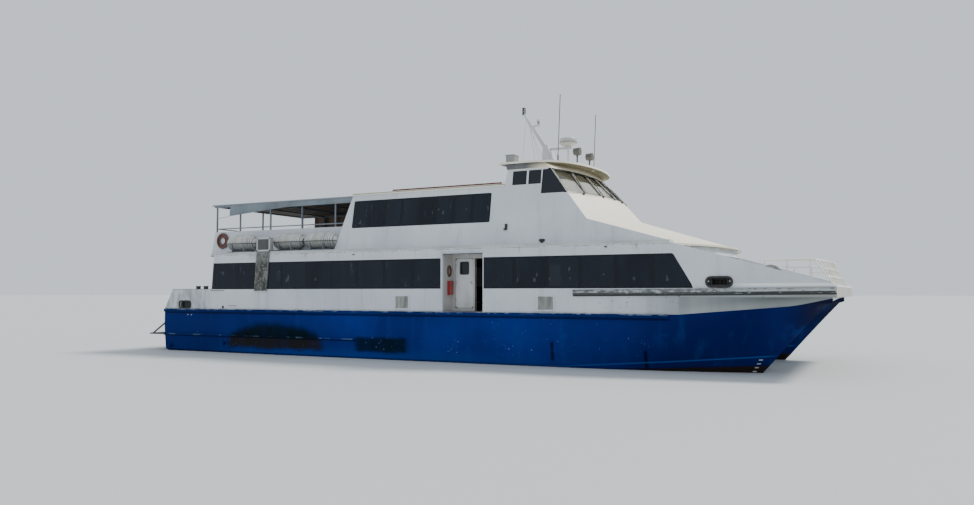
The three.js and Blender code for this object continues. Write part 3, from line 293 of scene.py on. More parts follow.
def hull_finish():
    """Blue enamel: two blues in clouds, pale scuffs, exhaust soot in measured patches, bands set by height, and painted
    shade, shadow and highlights.
    """
    f = Finish("hull_enamel", Specular_IOR_Level=.06)
    x, y, z = f.x, f.y, f.z
    side = abs(y)
    cloud = f.noise(.35, 5)
    grain = f.noise(3.2, 6)
    fine = f.noise(14.0, 4)
    drips = f.noise(2.4, 4, (1, 1, .09))
    f.colour = f.mix(f.step(cloud, .35, .68), (.0002, .017, .165), (.0003, .027, .25))
    # Painted shade darkens the blue forward, nearly to black at the stem, and aft; painted light makes it paler low
    # down amidships
    f.over(f.step(x, 3.0, 11.0) * .8, (.0001, .0055, .075))
    f.over(f.step(x, 13.0, 14.5) * .8, (.0001, .0012, .012))
    f.over(f.step(x, -8.0, -12.0) * .6, (.0002, .009, .07))
    f.over(f.step(drips, .52, .78) * .35, (.003, .05, .23))
    f.over(f.step(z, .6, .15) * f.step(x, 8.0, 0.0) * f.step(x, -12.5, -9.5) * .4, (.001, .055, .27))
    # Soot round the two exhaust outlets, greener where it is thin
    ragged = (f.noise(1.7, 6) - .5) * .55
    hump = 1.52 - .0475 * (abs(x + 8.05) ** 2.6) + ragged * .6
    soot = f.step(hump - z, -.08, .36) * f.step(z + ragged * .5, .14, .4) * f.step(abs(x + 8.03 + ragged), 3.0, 2.4)
    second = f.step(abs(x + 2.35 + ragged * .7), 1.42, 1.08) * f.step(abs(z - .6 + ragged * .3), .4, .22)
    stain = soot.most(second * .92) * (.9 + .1 * f.step(drips, .35, .6))
    sooty = f.mix(f.step(z, .72, .8).most(f.step(x, -4.6, -4.2)), (.0165, .016, .0135), (.001, .009, .0125))
    f.over(stain * .985, sooty)
    # Dark vertical runs under two overboard outlets forward
    runs = (f.step(abs(x - 5.28), .1, .03) * f.within(z, .3, .86, .12)).most(
        f.step(abs(x - 8.75), .1, .03) * f.within(z, .1, .64, .12))
    f.over(runs * .8, (.0005, .003, .02))
    # Pale chips and rubbed patches, most under the entrance
    chips = f.step(fine, .68, .71) * f.step(f.noise(.8, 2, start=(3, 1, 0)), .48, .6)
    chips = chips * f.step(z, .25, .45) * f.step(z, 1.8, 1.7) * f.step(x, 10.0, 7.5)
    f.over(chips * .7, (.35, .43, .56))
    rubbed = f.step(f.noise(1.3, 5, (1, 1, 3)), .62, .8) * f.within(x, -1.0, 9.0, 1.5)
    f.over(rubbed * .22, (.02, .09, .33))
    # The strake is a darker blue with its top edge scuffed to bare metal; painted shadow lies on the hull under it
    strake = f.step(side, 4.512, 4.53) * f.within(z, 1.83, 2.01, .005)
    worn = f.step(f.noise(3.4, 6, (1, 1, 5)), .47, .64) * f.step(z, 1.925, 1.985)
    f.over(strake * .55, (.001, .014, .075))
    f.over(strake * worn * .75, (.26, .33, .42))
    f.over(f.within(z, 1.8, 1.85, .035) * f.step(x, 9.7, 9.5) * .6, (.0005, .004, .03))
    # Painted highlight in patches along the spray rail, and painted shadow in a dark line under it
    rail_highlight = f.step(side, 4.505, 4.52) * f.within(z, .77, .84, .005)
    f.over(rail_highlight * f.step(x, -3.4, -3.7) * f.step(f.noise(.9, 4), .42, .55) * f.step(grain, .4, .6) * .5,
           (.11, .19, .31))
    f.over(f.within(z, .72, .765, .01) * f.step(side, 4.44, 4.46) * f.step(x, -3.4, -3.7) * .7, (.0002, .003, .02))
    # A painted highlight along the chine
    edge = z - .05 - .074 * (x - 5.6).most(0.0)
    chine_highlight = f.step(abs(edge), .035, .01) * f.step(x, 13.2, 12.6) * f.step(x, 0.0, 6.0)
    f.over(chine_highlight * .55, (.02, .12, .42))
    # White strip above the knuckle forward, with painted shade towards the bow and the fender; decks grey, antifouling
    # under water
    knuckle = (z - 1.9985 - .085 * (x - 10.0)).most(0.0)
    above = f.step(knuckle - f.step(x, 13.4, 15.4) * .2, .0005, .003) * f.step(x, 9.99, 10.0)
    white = f.mix(f.step(drips, .4, .75), (.6, .64, .66), (.46, .49, .5))
    white = f.mix((.58 + .42 * f.step(x, 10.0, 13.4)) * (.72 + .28 * f.step(knuckle, .05, .35)), white, (.14, .16, .16))
    f.over(above, white)
    boot = .05 + (x - 7.5).most(0.0) * .048
    f.over(f.step(boot - z + (grain - .5) * .06, 0.0, .07), (.02, .013, .012))
    # Draught scale: short pale bars one above another, that rake with the stem
    bars = f.step(side, 3.1, 3.15) * f.within(x - z * .55, 12.19, 12.3, .012)
    bars = bars * f.step(((z - .03) / .135).fract(), .32, .28) * f.within(z, .03, .52, .01)
    f.over(bars * .8, (.55, .56, .56))
    f.over(f.step(z, .012, -.01), (.06, .014, .011))
    slime = f.step(f.noise(1.1, 6), .45, .7) * f.step(z, 0.0, -.3)
    f.over(slime * .6, (.02, .026, .012))
    deck = f.step(z, 1.9975, 1.9985) * f.step(x, 9.98, 9.9)
    f.over(deck, (.2, .22, .23))
    plates = f.step(abs((x / 1.2).fract() - .5), .47, .5)
    height = f.noise(.9, 3) * .01 + grain * .0012 - plates * .0015 + fine * .0005
    rough = .34 + .25 * grain + .25 * stain + .35 * f.step(z, .05, -.05)
    return f.done(f.colour, rough, height)


hull_paint = hull_finish()
dress_pair("hull_", hull_paint, "hull_paint", smooth=28)


def faces_of(rows, columns, wrap_rows=False, wrap_columns=False):
    """Quads between the neighbours of a grid of points numbered row by row; a wrapped side joins its two ends."""
    r = np.arange(rows if wrap_rows else rows - 1)[:, None]
    c = np.arange(columns if wrap_columns else columns - 1)[None, :]
    r2, c2 = (r + 1) % rows, (c + 1) % columns
    return np.stack([r * columns + c, r * columns + c2, r2 * columns + c2, r2 * columns + c], -1).reshape(-1, 4)


def closed_rings(rows, sides):
    """The faces of rings of points, a ring to a row, with one face over the first ring and one over the last."""
    last = (rows - 1) * sides
    return faces_of(rows, sides, False, True).tolist() + [list(range(sides)), list(range(last, last + sides))]


def tube(path, radius, sides=10, closed=False):
    """A circle carried along a path: each point is path + radius (cos a * across + sin a * up), where across is the
    tangent crossed with the axis that the path moves along least, and up is the tangent crossed with across."""
    path = np.asarray(path, float)
    along = (np.roll(path, -1, 0) - np.roll(path, 1, 0)) if closed else np.gradient(path, axis=0)
    along /= np.linalg.norm(along, axis=1)[:, None]
    least = np.eye(3)[np.argmin(np.ptp(path, axis=0))]
    across = np.cross(along, least)
    across /= np.linalg.norm(across, axis=1)[:, None]
    up = np.cross(along, across)
    a = np.linspace(0, 2 * np.pi, sides, endpoint=False)
    wide = np.broadcast_to(np.asarray(radius, float), len(path))[:, None, None]
    ring = np.cos(a)[None, :, None] * across[:, None] + np.sin(a)[None, :, None] * up[:, None]
    faces = faces_of(len(path), sides, True, True) if closed else closed_rings(len(path), sides)
    return (path[:, None] + wide * ring).reshape(-1, 3), faces


def hoop(centre, across, up, thick, count=36, sides=6):
    """A ring of tube, its path centre + cos a * across + sin a * up, so that it may be oval or tilted."""
    a = np.linspace(0, 2 * np.pi, count, endpoint=False)[:, None]
    return tube(centre + np.cos(a) * across + np.sin(a) * up, thick, sides, True)


def slab(outline, axis, low, high):
    """An outline in the two directions other than axis, carried from low to high along axis: end faces and a quad per
    edge. low and high may hold one value for each point of the outline."""
    flat = np.asarray(outline, float)
    ends = np.concatenate([np.insert(flat, axis, low, 1), np.insert(flat, axis, high, 1)])
    return ends, closed_rings(2, len(flat))


def block(low, high):
    """A rectangular bar between two corners."""
    (x0, y0, z0), (x1, y1, z1) = low, high
    return slab([(x0, y0), (x1, y0), (x1, y1), (x0, y1)], 2, z0, z1)


def round_rect(cx, cy, hx, hy, r, corner=5):
    """A rounded rectangle's outline: four quarter circles of radius r about the corners of an inner rectangle."""
    a = np.linspace(0, np.pi / 2, corner)
    quarters = [(a + q * np.pi / 2, sx, sy) for q, (sx, sy) in enumerate([(1, 1), (-1, 1), (-1, -1), (1, -1)])]
    return np.concatenate([np.stack([cx + sx * (hx - r) + r * np.cos(t), cy + sy * (hy - r) + r * np.sin(t)], 1)
                           for t, sx, sy in quarters])


def spun(profile, centre, axis=0, sides=24):
    """A profile of (along, radius) turned about an axis through centre; radii of zero close on a point."""
    profile = np.asarray(profile, float)
    a = np.linspace(0, 2 * np.pi, sides, endpoint=False)
    one, two = [i for i in range(3) if i != axis]
    points = np.zeros((len(profile), sides, 3))
    points[:, :, axis] = profile[:, :1]
    points[:, :, one] = profile[:, 1:] * np.cos(a)
    points[:, :, two] = profile[:, 1:] * np.sin(a)
    return (points + np.asarray(centre, float)).reshape(-1, 3), closed_rings(len(profile), sides)


def port(chunk):
    """A starboard chunk's twin on the port side."""
    points, faces = chunk
    return np.asarray(points, float).reshape(-1, 3) * (1, -1, 1), faces


def both(chunks):
    """Starboard chunks with their port twins."""
    return chunks + [port(c) for c in chunks]


# Welded pipe stubs stand at the overboard outlets, with a pair of small round plates aft. The bars of the plain
# draught scale at the stem are paint, made with the hull's own.
steel = mottled("galvanised_steel", (.3, .31, .32), (.17, .17, .17), (6, 5), (.35, .7), (.38, .3, 9, 4),
                (22, 3), .0012, Metallic=.55)
black = mottled("black_rubber", (.012, .013, .014), (.035, .034, .033), (7, 5), rough=.62)
stubs = [spun([(-4.56, r * .7), (-4.56, r), (-4.42, r), (-4.42, r * .7)], (x_at, 0, z_at), 1, 20)
         for x_at, z_at, r in ((-11.03, .44, .075), (-14.46, .24, .075), (8.75, .72, .045), (5.28, .94, .045))]
white_discs = [spun([(-4.512, 0), (-4.512, .028), (-4.49, .028), (-4.49, 0)], (x_at, 0, 1.72), 1, 12)
               for x_at in (-13.29, -13.06)]
piece("hull_stubs", both(stubs), hull_paint)

# BRIDGE DECK AND SIDE WALLS
# Flat welded aluminium sheet over light frames, white enamel in the shade of the ship's own side. The walls carry
# the rubbing fender forward, framed louvre boxes and the cut openings; old drips start at every ledge.


def white_finish(name, dirt=.5, tone=(.7, .735, .775), shade=(.61, .65, .695)):
    """White enamel: clouds and long drips, rust under the upper weld line, scuffs, chips, painted shade and a painted
    highlight about the fender.
    """
    f = Finish(name, Specular_IOR_Level=.35)
    x, y, z = f.x, f.y, f.z
    cloud = f.noise(.5, 4)
    grain = f.noise(7.0, 5)
    drips = f.noise(3.0, 5, (1, 1, .07))
    thin = f.noise(11.0, 4, (1, 1, .05))
    f.colour = f.mix(f.step(cloud, .3, .7), tone, shade)
    f.over(f.step(drips, .52, .8) * dirt * .8, (.4, .425, .44))
    f.over(f.step(thin, .62, .77) * dirt * .5, (.34, .34, .32))
    # Rust starts at small fittings on the weld line where the side meets the upper deck
    starts = f.step(f.noise(2.1, 2, (1, 1, .001)), .56, .66)
    rust = starts * f.step(z, 4.15, 4.47) * f.step(z, 4.505, 4.49) * f.step(thin, .42, .6)
    f.over(rust * .55, (.22, .12, .06))
    weld = f.within(z, 4.455, 4.475, .008) * f.step(grain, .42, .55)
    f.over(weld * .6, (.16, .15, .14))
    f.over(f.step(x, 13.0, 14.3) * f.within(z, 2.56, 3.04, .03) * .7, (.4, .385, .32))
    # The fender bar, by levels that climb forward: grey along its top, bare metal, brighter low down, black painted
    # shadow below
    side = abs(y)
    bar = f.step(side, 4.505, 4.515) * f.within(z, 2.64, 2.95, .004) * f.step(x, 6.12, 6.14)
    level = z - (x - 6.15) * .0085
    scuff = f.noise(6.0, 6, (1, 1, 3))
    fender_metal_and_shadow = f.mix(f.step(level, 2.8, 2.78), (.36, .385, .4), (.46, .48, .485))
    fender_metal_and_shadow = f.mix(f.step(level, 2.835, 2.845) * .5, fender_metal_and_shadow, (.17, .18, .185))
    fender_metal_and_shadow = f.mix(f.step(level, 2.745, 2.73) * .97, fender_metal_and_shadow, (.022, .024, .026))
    fender_metal_and_shadow = f.mix(f.step(x, 12.3, 11.3) * f.step(scuff, .6, .46) * .8, fender_metal_and_shadow, (.1, .105, .105))
    fender_metal_and_shadow = f.mix(f.step(scuff, .56, .72) * .6, fender_metal_and_shadow, (.46, .48, .49))
    fender_metal_and_shadow = f.mix(f.step(scuff, .44, .34) * .6, fender_metal_and_shadow, (.07, .073, .075))
    f.over(bar, fender_metal_and_shadow)
    # Painted shade darkens the wall under the fender forward
    below = f.step(side, 4.4, 4.42) * f.step(z, 2.68, 2.66)
    f.over(below * f.step(x, 7.8, 10.2) * .56, (.14, .16, .16))
    # A painted highlight along the wall just above the fender at the bow
    f.over(f.within(z, 2.96, 3.05, .02) * f.step(x, 11.4, 12.6), (.94, .96, .95))
    # A black strip of painted shadow on the wall just under the fender
    foot = f.within(level, 2.615, 2.672, .004) * f.step(side, 4.4, 4.42) * f.step(x, 6.12, 6.14)
    f.over(foot * .95, (.028, .03, .032))
    chips = f.step(f.noise(9.0, 3, (1, 1, 2)), .665, .69) * f.within(z, 2.22, 2.62, .05)
    f.over(chips * f.within(x, 7.6, 12.6, .8) * .85, (.05, .055, .06))
    specks = f.step(f.noise(17.0, 3, start=(2, 0, 0)), .715, .73) * f.step(x, 9.5, 11.0) * f.step(z, 3.0, 3.15)
    f.over(specks * .6, (.1, .1, .1))
    # The aft bulwark has taken ropes and soot; the foot of the wall is greyed by spray
    aft = f.step(x, -11.7, -12.3) * f.step(z, 2.98, 2.94)
    streaks = f.noise(4.0, 6, (1, 1, .3))
    f.over(aft * f.step(streaks, .34, .66) * .7, (.24, .255, .245))
    corner = f.step(x, -11.545, -11.548) * f.within(z, 2.915, 4.12, .004) * f.step(side, 4.49, 4.4985)
    f.over(corner, (.006, .008, .013))
    f.over(f.step(z, 2.1, 2.0) * f.step(drips, .3, .6) * .5, (.3, .33, .37))
    lead = x + (z - 6.57) * .738
    high = f.step(z, 6.585, 6.59)
    f.over(f.within(lead, 5.44, 5.56, .003) * high * f.step(x, 4.46, 4.47), (.006, .008, .013))
    end = f.step(lead, 5.555, 5.56) * high * f.step(side + (z - 4.5) * .1763, 3.882, 3.878)
    f.over(end * f.step(side, 3.2, 3.25), (.012, .013, .014))
    frames = f.step(abs((x / 1.2).fract() - .5), .455, .5)
    height = f.noise(.8, 2) * .012 - frames * .0016 + grain * .0008
    return f.done(f.colour, .34 + .28 * cloud + .1 * grain, height)


white_paint = white_finish("white_enamel")
piece("stern_discs", both(white_discs), white_paint)
dress("bridge_deck", white_paint, "white_paint")
dress_pair("side_wall_", white_paint, "white_paint", smooth=20)
dress("stern_bulwark", white_paint, "white_paint", bevel=.008)

# Louvres of the air intakes: pressed slats set at 35 degrees in each framed box.
louvre = mottled("louvre_enamel", (.58, .58, .54), (.34, .34, .31), (5, 5, (1, 1, .4)), (.35, .7), .6, (26, 3),
                 Metallic=.15)
slats = []
for x_box in (-1.565, 4.755):
    slats += [slab([(-4.535, z0), (-4.5345, z0 + .003), (-4.508, z0 + .021), (-4.507, z0 + .018)], 0,
                   x_box, x_box + .61)
              for z0 in np.arange(2.105, 2.63, .027)]
    slats += [block((x_box + w, -4.532, 2.09), (x_box + w + .012, -4.507, 2.64)) for w in (.2, .4)]
piece("intake_louvres", both(slats), louvre, smooth=20)

# Drip ledges, scuppers and small fittings on the walls: bent strip and bolted lugs.
strips = [block((-11.12, -4.512, 2.03), (-11.02, -4.499, 2.15)),
          block((-10.72, -4.506, 2.145), (-10.25, -4.4995, 2.165)),
          slab(round_rect(-11.45, 2.85, .42, .012, .005, 3), 1, -4.507, -4.4995)]
strips += [block((x_lug - .05, -4.53, z_lug - .02), (x_lug + .05, -4.4995, z_lug + .02))
           for x_lug, z_lug in ((-3.7, 4.36), (7.4, 4.4))]
piece("wall_fittings", both(strips), black)

# Roller chocks: an oval steel frame round each mooring opening, with dark rollers in it.


def oval_path(cx, cz, hx, hz, r, y_at):
    """A rounded rectangle's outline as a closed path in the plane of the wall."""
    return np.insert(round_rect(cx, cz, hx, hz, r, 7), 1, y_at, 1)


# Black sheets deep in the chock and fairlead openings are painted shade there
shade_backing = [slab(round_rect(11.37, 3.115, .47, .2, .15), 1, -4.19, -4.175),
             slab(round_rect(-13.5, 2.2, .37, .16, .1), 1, -4.385, -4.375)]
chocks = [tube(oval_path(-13.5, 2.2, .375, .165, .11, -4.512), .028, 8, True)]
chocks += [spun([(2.06, 0), (2.06, .045), (2.1, .03), (2.3, .03), (2.34, .045), (2.34, 0)], (x_roll, -4.43, 0), 2, 14)
           for x_roll in (-13.72, -13.28)]
piece("stern_chocks", both(chocks), black)
dress_pair("bow_fairlead_", black, "steel", smooth=40)
liner = [tube(oval_path(11.37, 3.115, .43, .165, .15, y_at), r_at, 8, True)
         for y_at, r_at in ((-4.37, .03), (-4.32, .035), (-4.26, .035), (-4.2, .035))]
liner += [tube([(11.0, -4.3, z_at), (11.74, -4.3, z_at)], .034, 12) for z_at in (3.02, 3.215)]
liner += [tube([(x_at, -4.24, 2.97), (x_at, -4.24, 3.26)], .04, 12) for x_at in (11.22, 11.37, 11.52)]
piece("bow_fairlead_liners_and_shade_backing", both(liner + shade_backing), black)
rollers = [spun([(3.03, 0), (3.03, .05), (3.06, .034), (3.19, .034), (3.22, .05), (3.22, 0)],
                (x_roll, -4.452, 0), 2, 16)
           for x_roll in (11.02, 11.1, 11.64, 11.72)]
worn_steel = mottled("rubbed_steel", (.5, .5, .5), (.22, .22, .22), (12, 5), None, (.28, .3, 16, 3), (30, 2),
                     .0008, Metallic=.8)
piece("bow_fairlead_rollers", both(rollers), black)
rubbed = [spun([(-4.515, 0), (-4.515, .028), (-4.47, .034), (-4.47, 0)], (x_spot, 0, 3.135), 1, 14)
          for x_spot in (11.02, 11.72)]
piece("bow_fairlead_studs", both(rubbed), worn_steel)

# CABIN GLASS
# Long bands of dark tinted panes bonded edge to edge over the wall's mullions, with a printed black border and
# thin sealant joints; painted glints, in pale streaks and small spots, show here and there.


def band_finish(name, start, pitch, low, high):
    """Tinted glass: solid black border and joints by height and by place along the band, faint smears and painted
    glints.
    """
    f = Finish(name, Specular_IOR_Level=.3, IOR=1.45)
    place = ((f.x - start) / pitch).fract() * pitch
    joint = f.step(abs(place - pitch / 2), pitch / 2 - .085, pitch / 2 - .075)
    border = (1 - f.step(f.z, low, low + .008) * f.step(f.z, high, high - .008)).most(joint)
    seal = f.step(abs(place - pitch / 2), pitch / 2 - .009, pitch / 2 - .004)
    smear = f.noise(1.6, 5, (1, 1, .25))
    each = f.node("ShaderNodeTexWhiteNoise", {"noise_dimensions": "1D"}, {"W": ((f.x - start) / pitch).floor()})
    f.colour = f.mix(f.step(smear, .35, .75), (.0045, .0075, .015), (.01, .0155, .027))
    f.over(each * .6, (.014, .02, .031))
    f.over(border * .8, (.0035, .0055, .011))
    f.over(seal * .9, (.0012, .0014, .002))
    # Painted glints: pale vertical streaks and small spots
    glint_streak = f.step(f.noise(7.0, 3, (1, 1, .1)), .62, .72) * (1 - border) * f.step(f.noise(1.1, 2), .45, .6)
    f.over(glint_streak * .5, (.07, .085, .11))
    painted_glint = f.step(f.noise(3.1, 2, (1, 1, .55)), .655, .7) * (1 - border) * f.within(f.z, low + .18, high - .4, .1)
    f.over(painted_glint * .45, (.11, .13, .16))
    alpha = .91 + .09 * border.most(seal)
    return f.done(f.colour, .05 + .1 * smear, seal * -1.0, .002, alpha)


aft_glass = band_finish("band_glass_aft", -11.655, 1.3589, 2.97, 4.06)
fore_glass = band_finish("band_glass_fore", 2.425, 1.334, 2.97, 4.06)
upper_glass = band_finish("band_glass_upper", -4.405, .8413, 5.61, 6.69)
for side_name in ("starboard", "port"):
    dress("window_band_aft_" + side_name, aft_glass, "dark_glass")
    dress("window_band_fore_" + side_name, fore_glass, "dark_glass")
    dress("window_band_upper_" + side_name, upper_glass, "dark_glass")

# ENTRANCES
# On each side an alcove with a sliding-sill doorway and a hinged leaf of pressed aluminium in a rubber gasket.
# A hose locker and a rescue ring hang on the alcove's aft cheek, with a small lamp under its head.
alcove = white_finish("alcove_enamel", .7, (.62, .6, .575), (.5, .485, .47))
leaf = mottled("door_leaf", (.8, .82, .83), (.6, .61, .6), (2, 5, (1, 1, .3)), (.35, .75), (.36, .2, 5, 4),
               (3, 3), .004, Coat_Roughness=.3, Specular_IOR_Level=.4)
red = mottled("red_enamel", (.36, .012, .01), (.2, .012, .01), (9, 5), (.4, .75), .42, (20, 3),
              Coat_Weight=.4, Coat_Roughness=.15)
orange = mottled("ring_vinyl", (.16, .062, .042), (.095, .042, .03), (12, 5), (.35, .7), .5, (40, 3), .0015)
frosted = mottled("lamp_lens", (.72, .72, .66), (.55, .55, .5), (30, 2), relief=(50, 2), Roughness=.25, Alpha=.9)
pane = mottled("door_pane", (.01, .014, .018), (.022, .028, .032), (3, 4), relief=(2, 2), alpha=.88,
               Roughness=.05, Specular_IOR_Level=.4)
for side_name, mirror in (("starboard", lambda c: c), ("port", lambda c: [port(k) for k in c])):
    body = "side_door_" + side_name
    dress("entrance_" + side_name, alcove, "white_paint", smooth=25)
    dress(body, leaf, "white_paint", smooth=30, bevel=.004)
    gasket = [tube(oval_path(1.17, 3.13, .405, 1.0, .11, -3.679), .008, 6, True),
              tube(oval_path(1.17, 3.74, .207, .257, .05, -3.678), .009, 6, True)]
    piece(body + "_gasket", mirror(gasket), black, body)
    piece(body + "_pane", mirror([slab(round_rect(1.17, 3.74, .203, .253, .045), 1, -3.662, -3.652)]),
          pane, body, smooth=20)
    furniture = [slab(round_rect(1.505, 3.15, .022, .07, .02), 1, -3.683, -3.674),
                 tube([(1.505, -3.683, 3.17), (1.505, -3.715, 3.17), (1.49, -3.72, 3.17), (1.4, -3.72, 3.168)],
                      .009, 8)]
    furniture += [block((.772, -3.686, z0), (.8, -3.6735, z0 + .12)) for z0 in (2.4, 3.1, 3.8)]
    furniture += [slab([(1.0, 2.3), (1.34, 2.3), (1.34, 2.302), (1.0, 2.302)], 1, -3.676, -3.674)]
    piece(body + "_furniture", mirror(furniture), worn_steel, body)
    locker = [block((.6235, -4.1, 2.67), (.73, -3.8, 3.23)), block((.73, -4.085, 2.685), (.736, -3.815, 3.215))]
    piece("hose_locker_" + side_name, mirror(locker), red, bevel=.006)
    ring = hoop((.665, -4.0, 3.62), (0, .115, 0), (0, 0, .2), .036, 32, 10)
    piece("rescue_ring_" + side_name, mirror([ring]), orange)
    trim = [block((.63, -4.508, 4.27), (2.42, -4.494, 4.292)), block((1.665, -3.712, 2.02), (1.695, -3.7, 4.12)),
            block((1.66, -3.712, 4.1), (2.41, -3.7, 4.125)), block((.63, -4.49, 2.0152), (2.41, -3.75, 2.0185))]
    trim += [block((.63 + k, -4.48, 2.0185), (.642 + k, -3.76, 2.023)) for k in np.arange(.05, 1.77, .08)]
    piece("entrance_trim_" + side_name, mirror(trim), black)
    piece("entrance_lamp_" + side_name, mirror([spun([(4.285, 0), (4.285, .09), (4.25, .085), (4.235, .05), (4.235, 0)],
          (1.55, -4.1, 0), 2, 20)]), frosted)

# CABIN ENDS AND DECKS
# Plain bulkheads with framed windows and a hinged door close the cabins aft; the plated deck above is painted
# pale grey with a little grit in it.


def paint(name, colour, shade, grit=0.0, rough=.42, streaks=.35):
    """Enamel in two tones with drips; grit adds the fine relief of non-slip paint."""
    f = Finish(name, Coat_Roughness=.3, Specular_IOR_Level=.4)
    tone = f.mix(f.step(f.noise(.7, 5), .32, .7), colour, shade)
    drips = f.step(f.noise(3.4, 5, (1, 1, .12)), .55, .8)
    spots = f.step(f.noise(8.0, 5), .62, .75)
    tone = f.mix((drips * .6).most(spots * .5) * streaks, tone, (.2, .19, .16))
    height = f.noise(.9, 2) * .008 + f.noise(9, 4) * .0006 + f.noise(160, 2) * (.0012 * grit)
    return f.done(tone, rough + .25 * f.noise(5, 4), height)


cream = paint("cream_enamel", (.92, .89, .75), (.86, .83, .7), streaks=.15)
for node in ("cabin_aft_wall", "upper_aft_wall", "wheelhouse_aft_wall"):
    dress(node, white_paint, "white_paint", bevel=.004)
for node in ("cabin_aft_door", "upper_aft_door"):
    dress(node, leaf, "white_paint", bevel=.005)
    low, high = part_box(node)
    seam = [block((low.x - .006, y0, z0), (low.x - .001, y1, z1))
            for y0, y1, z0, z1 in ((-.33, .33, low.z + .12, low.z + .135), (-.33, .33, high.z - .135, high.z - .12),
                                   (-.33, -.315, low.z + .12, high.z - .12), (.315, .33, low.z + .12, high.z - .12))]
    grip = [tube([(low.x, -.34, low.z + .98), (low.x - .03, -.34, low.z + .98), (low.x - .035, -.33, low.z + .98),
                  (low.x - .035, -.22, low.z + .98)], .009, 8)]
    piece(node + "_seams", seam, black, node)
    piece(node + "_grip", grip, worn_steel, node)
end_panes = [slab(round_rect(sign * 2.2, 3.45, .7, .45, .06), 0, -11.768, -11.756) for sign in (-1, 1)]
end_panes.append(slab(round_rect(0, 7.34, 1.49, .155, .04), 0, 2.992, 3.004))
piece("end_panes", end_panes, pane, smooth=20)
frames = [tube(np.insert(round_rect(sign * 2.2, 3.45, .715, .465, .07, 7), 0, -11.803, 1), .014, 6, True)
          for sign in (-1, 1)]
piece("end_window_frames", frames, black)
dress("upper_deck", paint("upper_deck_enamel", (.58, .6, .6), (.46, .48, .48), .4, .5), "deck_paint", smooth=25)

# UPPER CABIN AND ITS ROOF
# Inclined side plates with one long band of tinted panes, under a thin roof edge with an old red-brown
# sealing strip along its forward half.
dress_pair("upper_side_", white_paint, "white_paint", smooth=20, bevel=.003)
dress("upper_roof", cream, "cream_paint", smooth=25)
sealing = mottled("sealing_strip", (.1, .022, .016), (.2, .11, .085), (5, 5, (2, 1, 1)), (.4, .7), .6)
piece("roof_edge_strip", both([block((-2.43, -3.498, 7.088), (2.76, -3.478, 7.15))]), sealing)
piece("roof_drip_edge", both([block((-4.51, -3.4975, 7.045), (2.85, -3.4935, 7.062))]), black)
grey_box = paint("grey_locker", (.3, .31, .31), (.2, .21, .21))
roof_gear = [block((-2.3, -1.1, 7.09), (-1.5, 1.1, 7.16)), block((-2.34, -1.14, 7.16), (-1.46, 1.14, 7.185))]
piece("roof_hatch", roof_gear, grey_box, bevel=.012)


def upper_side_y(z):
    """Outer face of the upper side at a height: it leans in by ten degrees from the upper deck's edge."""
    return 3.9 - (z - 4.5) * math.tan(math.radians(10))


fittings = [slab(round_rect(x_at, z_at, wide, tall, min(wide, tall) * .6), 1, -.06 - upper_side_y(z_at),
                 .012 - upper_side_y(z_at))
            for x_at, z_at, wide, tall in ((4.65, 4.752, .11, .05), (4.65, 4.7, .05, .05), (3.08, 5.35, .045, .1),
                                           (3.06, 5.24, .07, .035))]
piece("side_lamp_brackets", both(fittings), black, smooth=30)

# COACHROOF AND CABIN FRONT
# The moulded fore part of the cabin top slopes from the wheelhouse sill to a thick lip over the foredeck;
# the front wall stands back under the lip with a row of panes.
dress("coachroof", cream, "cream_paint")
dress("cabin_front", white_paint, "white_paint", smooth=25)


def bowed(across):
    """How far a curved front stands out, from 1 in the middle to 0 at the sides, where across is -1 and 1."""
    return 1 - np.abs(across) ** 2.3


abreast = np.linspace(-1, 1, 41)
lip = np.stack([9.838 + 1.362 * bowed(abreast), 4.38 * abreast, np.full(41, 4.394)], 1)
piece("lip_drip_bead", [tube(lip, .011, 6)], black)
front_glass = []
for y0, y1 in ((-3.9, -2.75), (-2.6, -1.4), (-1.25, -.08), (.08, 1.25), (1.4, 2.6), (2.75, 3.9)):
    y_row = np.linspace(y0, y1, 7)[None, :] * np.ones((4, 1))
    z_row = np.array([3.3, 3.32, 4.08, 4.1])[:, None] * np.ones((1, 7))
    down = (4.39 - z_row) / 1.74
    x_foot, x_side = 9.7 + .96 * down, 11.03 + .87 * down
    x_row = x_foot + (x_side - x_foot) * bowed(y_row / 4.4) + .012
    skin = np.stack([x_row, y_row, z_row], -1).reshape(-1, 3)
    inner = skin - (.02, 0, 0)
    # The outline of the grid of 4 by 7 points, and the quads that close the pane's edge along it
    rim = np.concatenate([np.arange(7), np.arange(13, 28, 7), np.arange(26, 20, -1), np.arange(14, 0, -7)])
    edge_quads = [[int(a), int(b), int(b) + 28, int(a) + 28] for a, b in zip(rim, np.roll(rim, -1))]
    front_glass.append((np.concatenate([skin, inner]),
                        faces_of(4, 7).tolist() + (faces_of(4, 7) + 28).tolist() + edge_quads))
front_pane = mottled("front_band_glass", (.006, .009, .015), (.012, .016, .024), (2, 4), relief=(1.5, 2),
                     depth=.002, Roughness=.08, Specular_IOR_Level=.35)
piece("cabin_front_panes", front_glass, front_pane, smooth=25)

# WHEELHOUSE
# A raked front of panes round a curved sill, with wipers, under an overhanging visor: a cream rim and lip over an
# olive cove, with one lamp in it. Two searchlights and two grey whips stand on the cream roof.
front_paint = Finish("wheelhouse_frames", Coat_Roughness=.3)
front_cream = front_paint.mix(front_paint.noise(1.2, 5), (.88, .85, .72), (.8, .775, .66))
front_paint.done(front_paint.mix(front_paint.step(front_paint.z, 6.65, 6.61), (.03, .03, .028), front_cream),
                 .35 + .2 * front_paint.noise(6, 4), front_paint.noise(9, 3), .001)
dress("wheelhouse_front", front_paint, "cream_paint", smooth=25)
screen = Finish("windscreen", Roughness=.04, Specular_IOR_Level=.45)
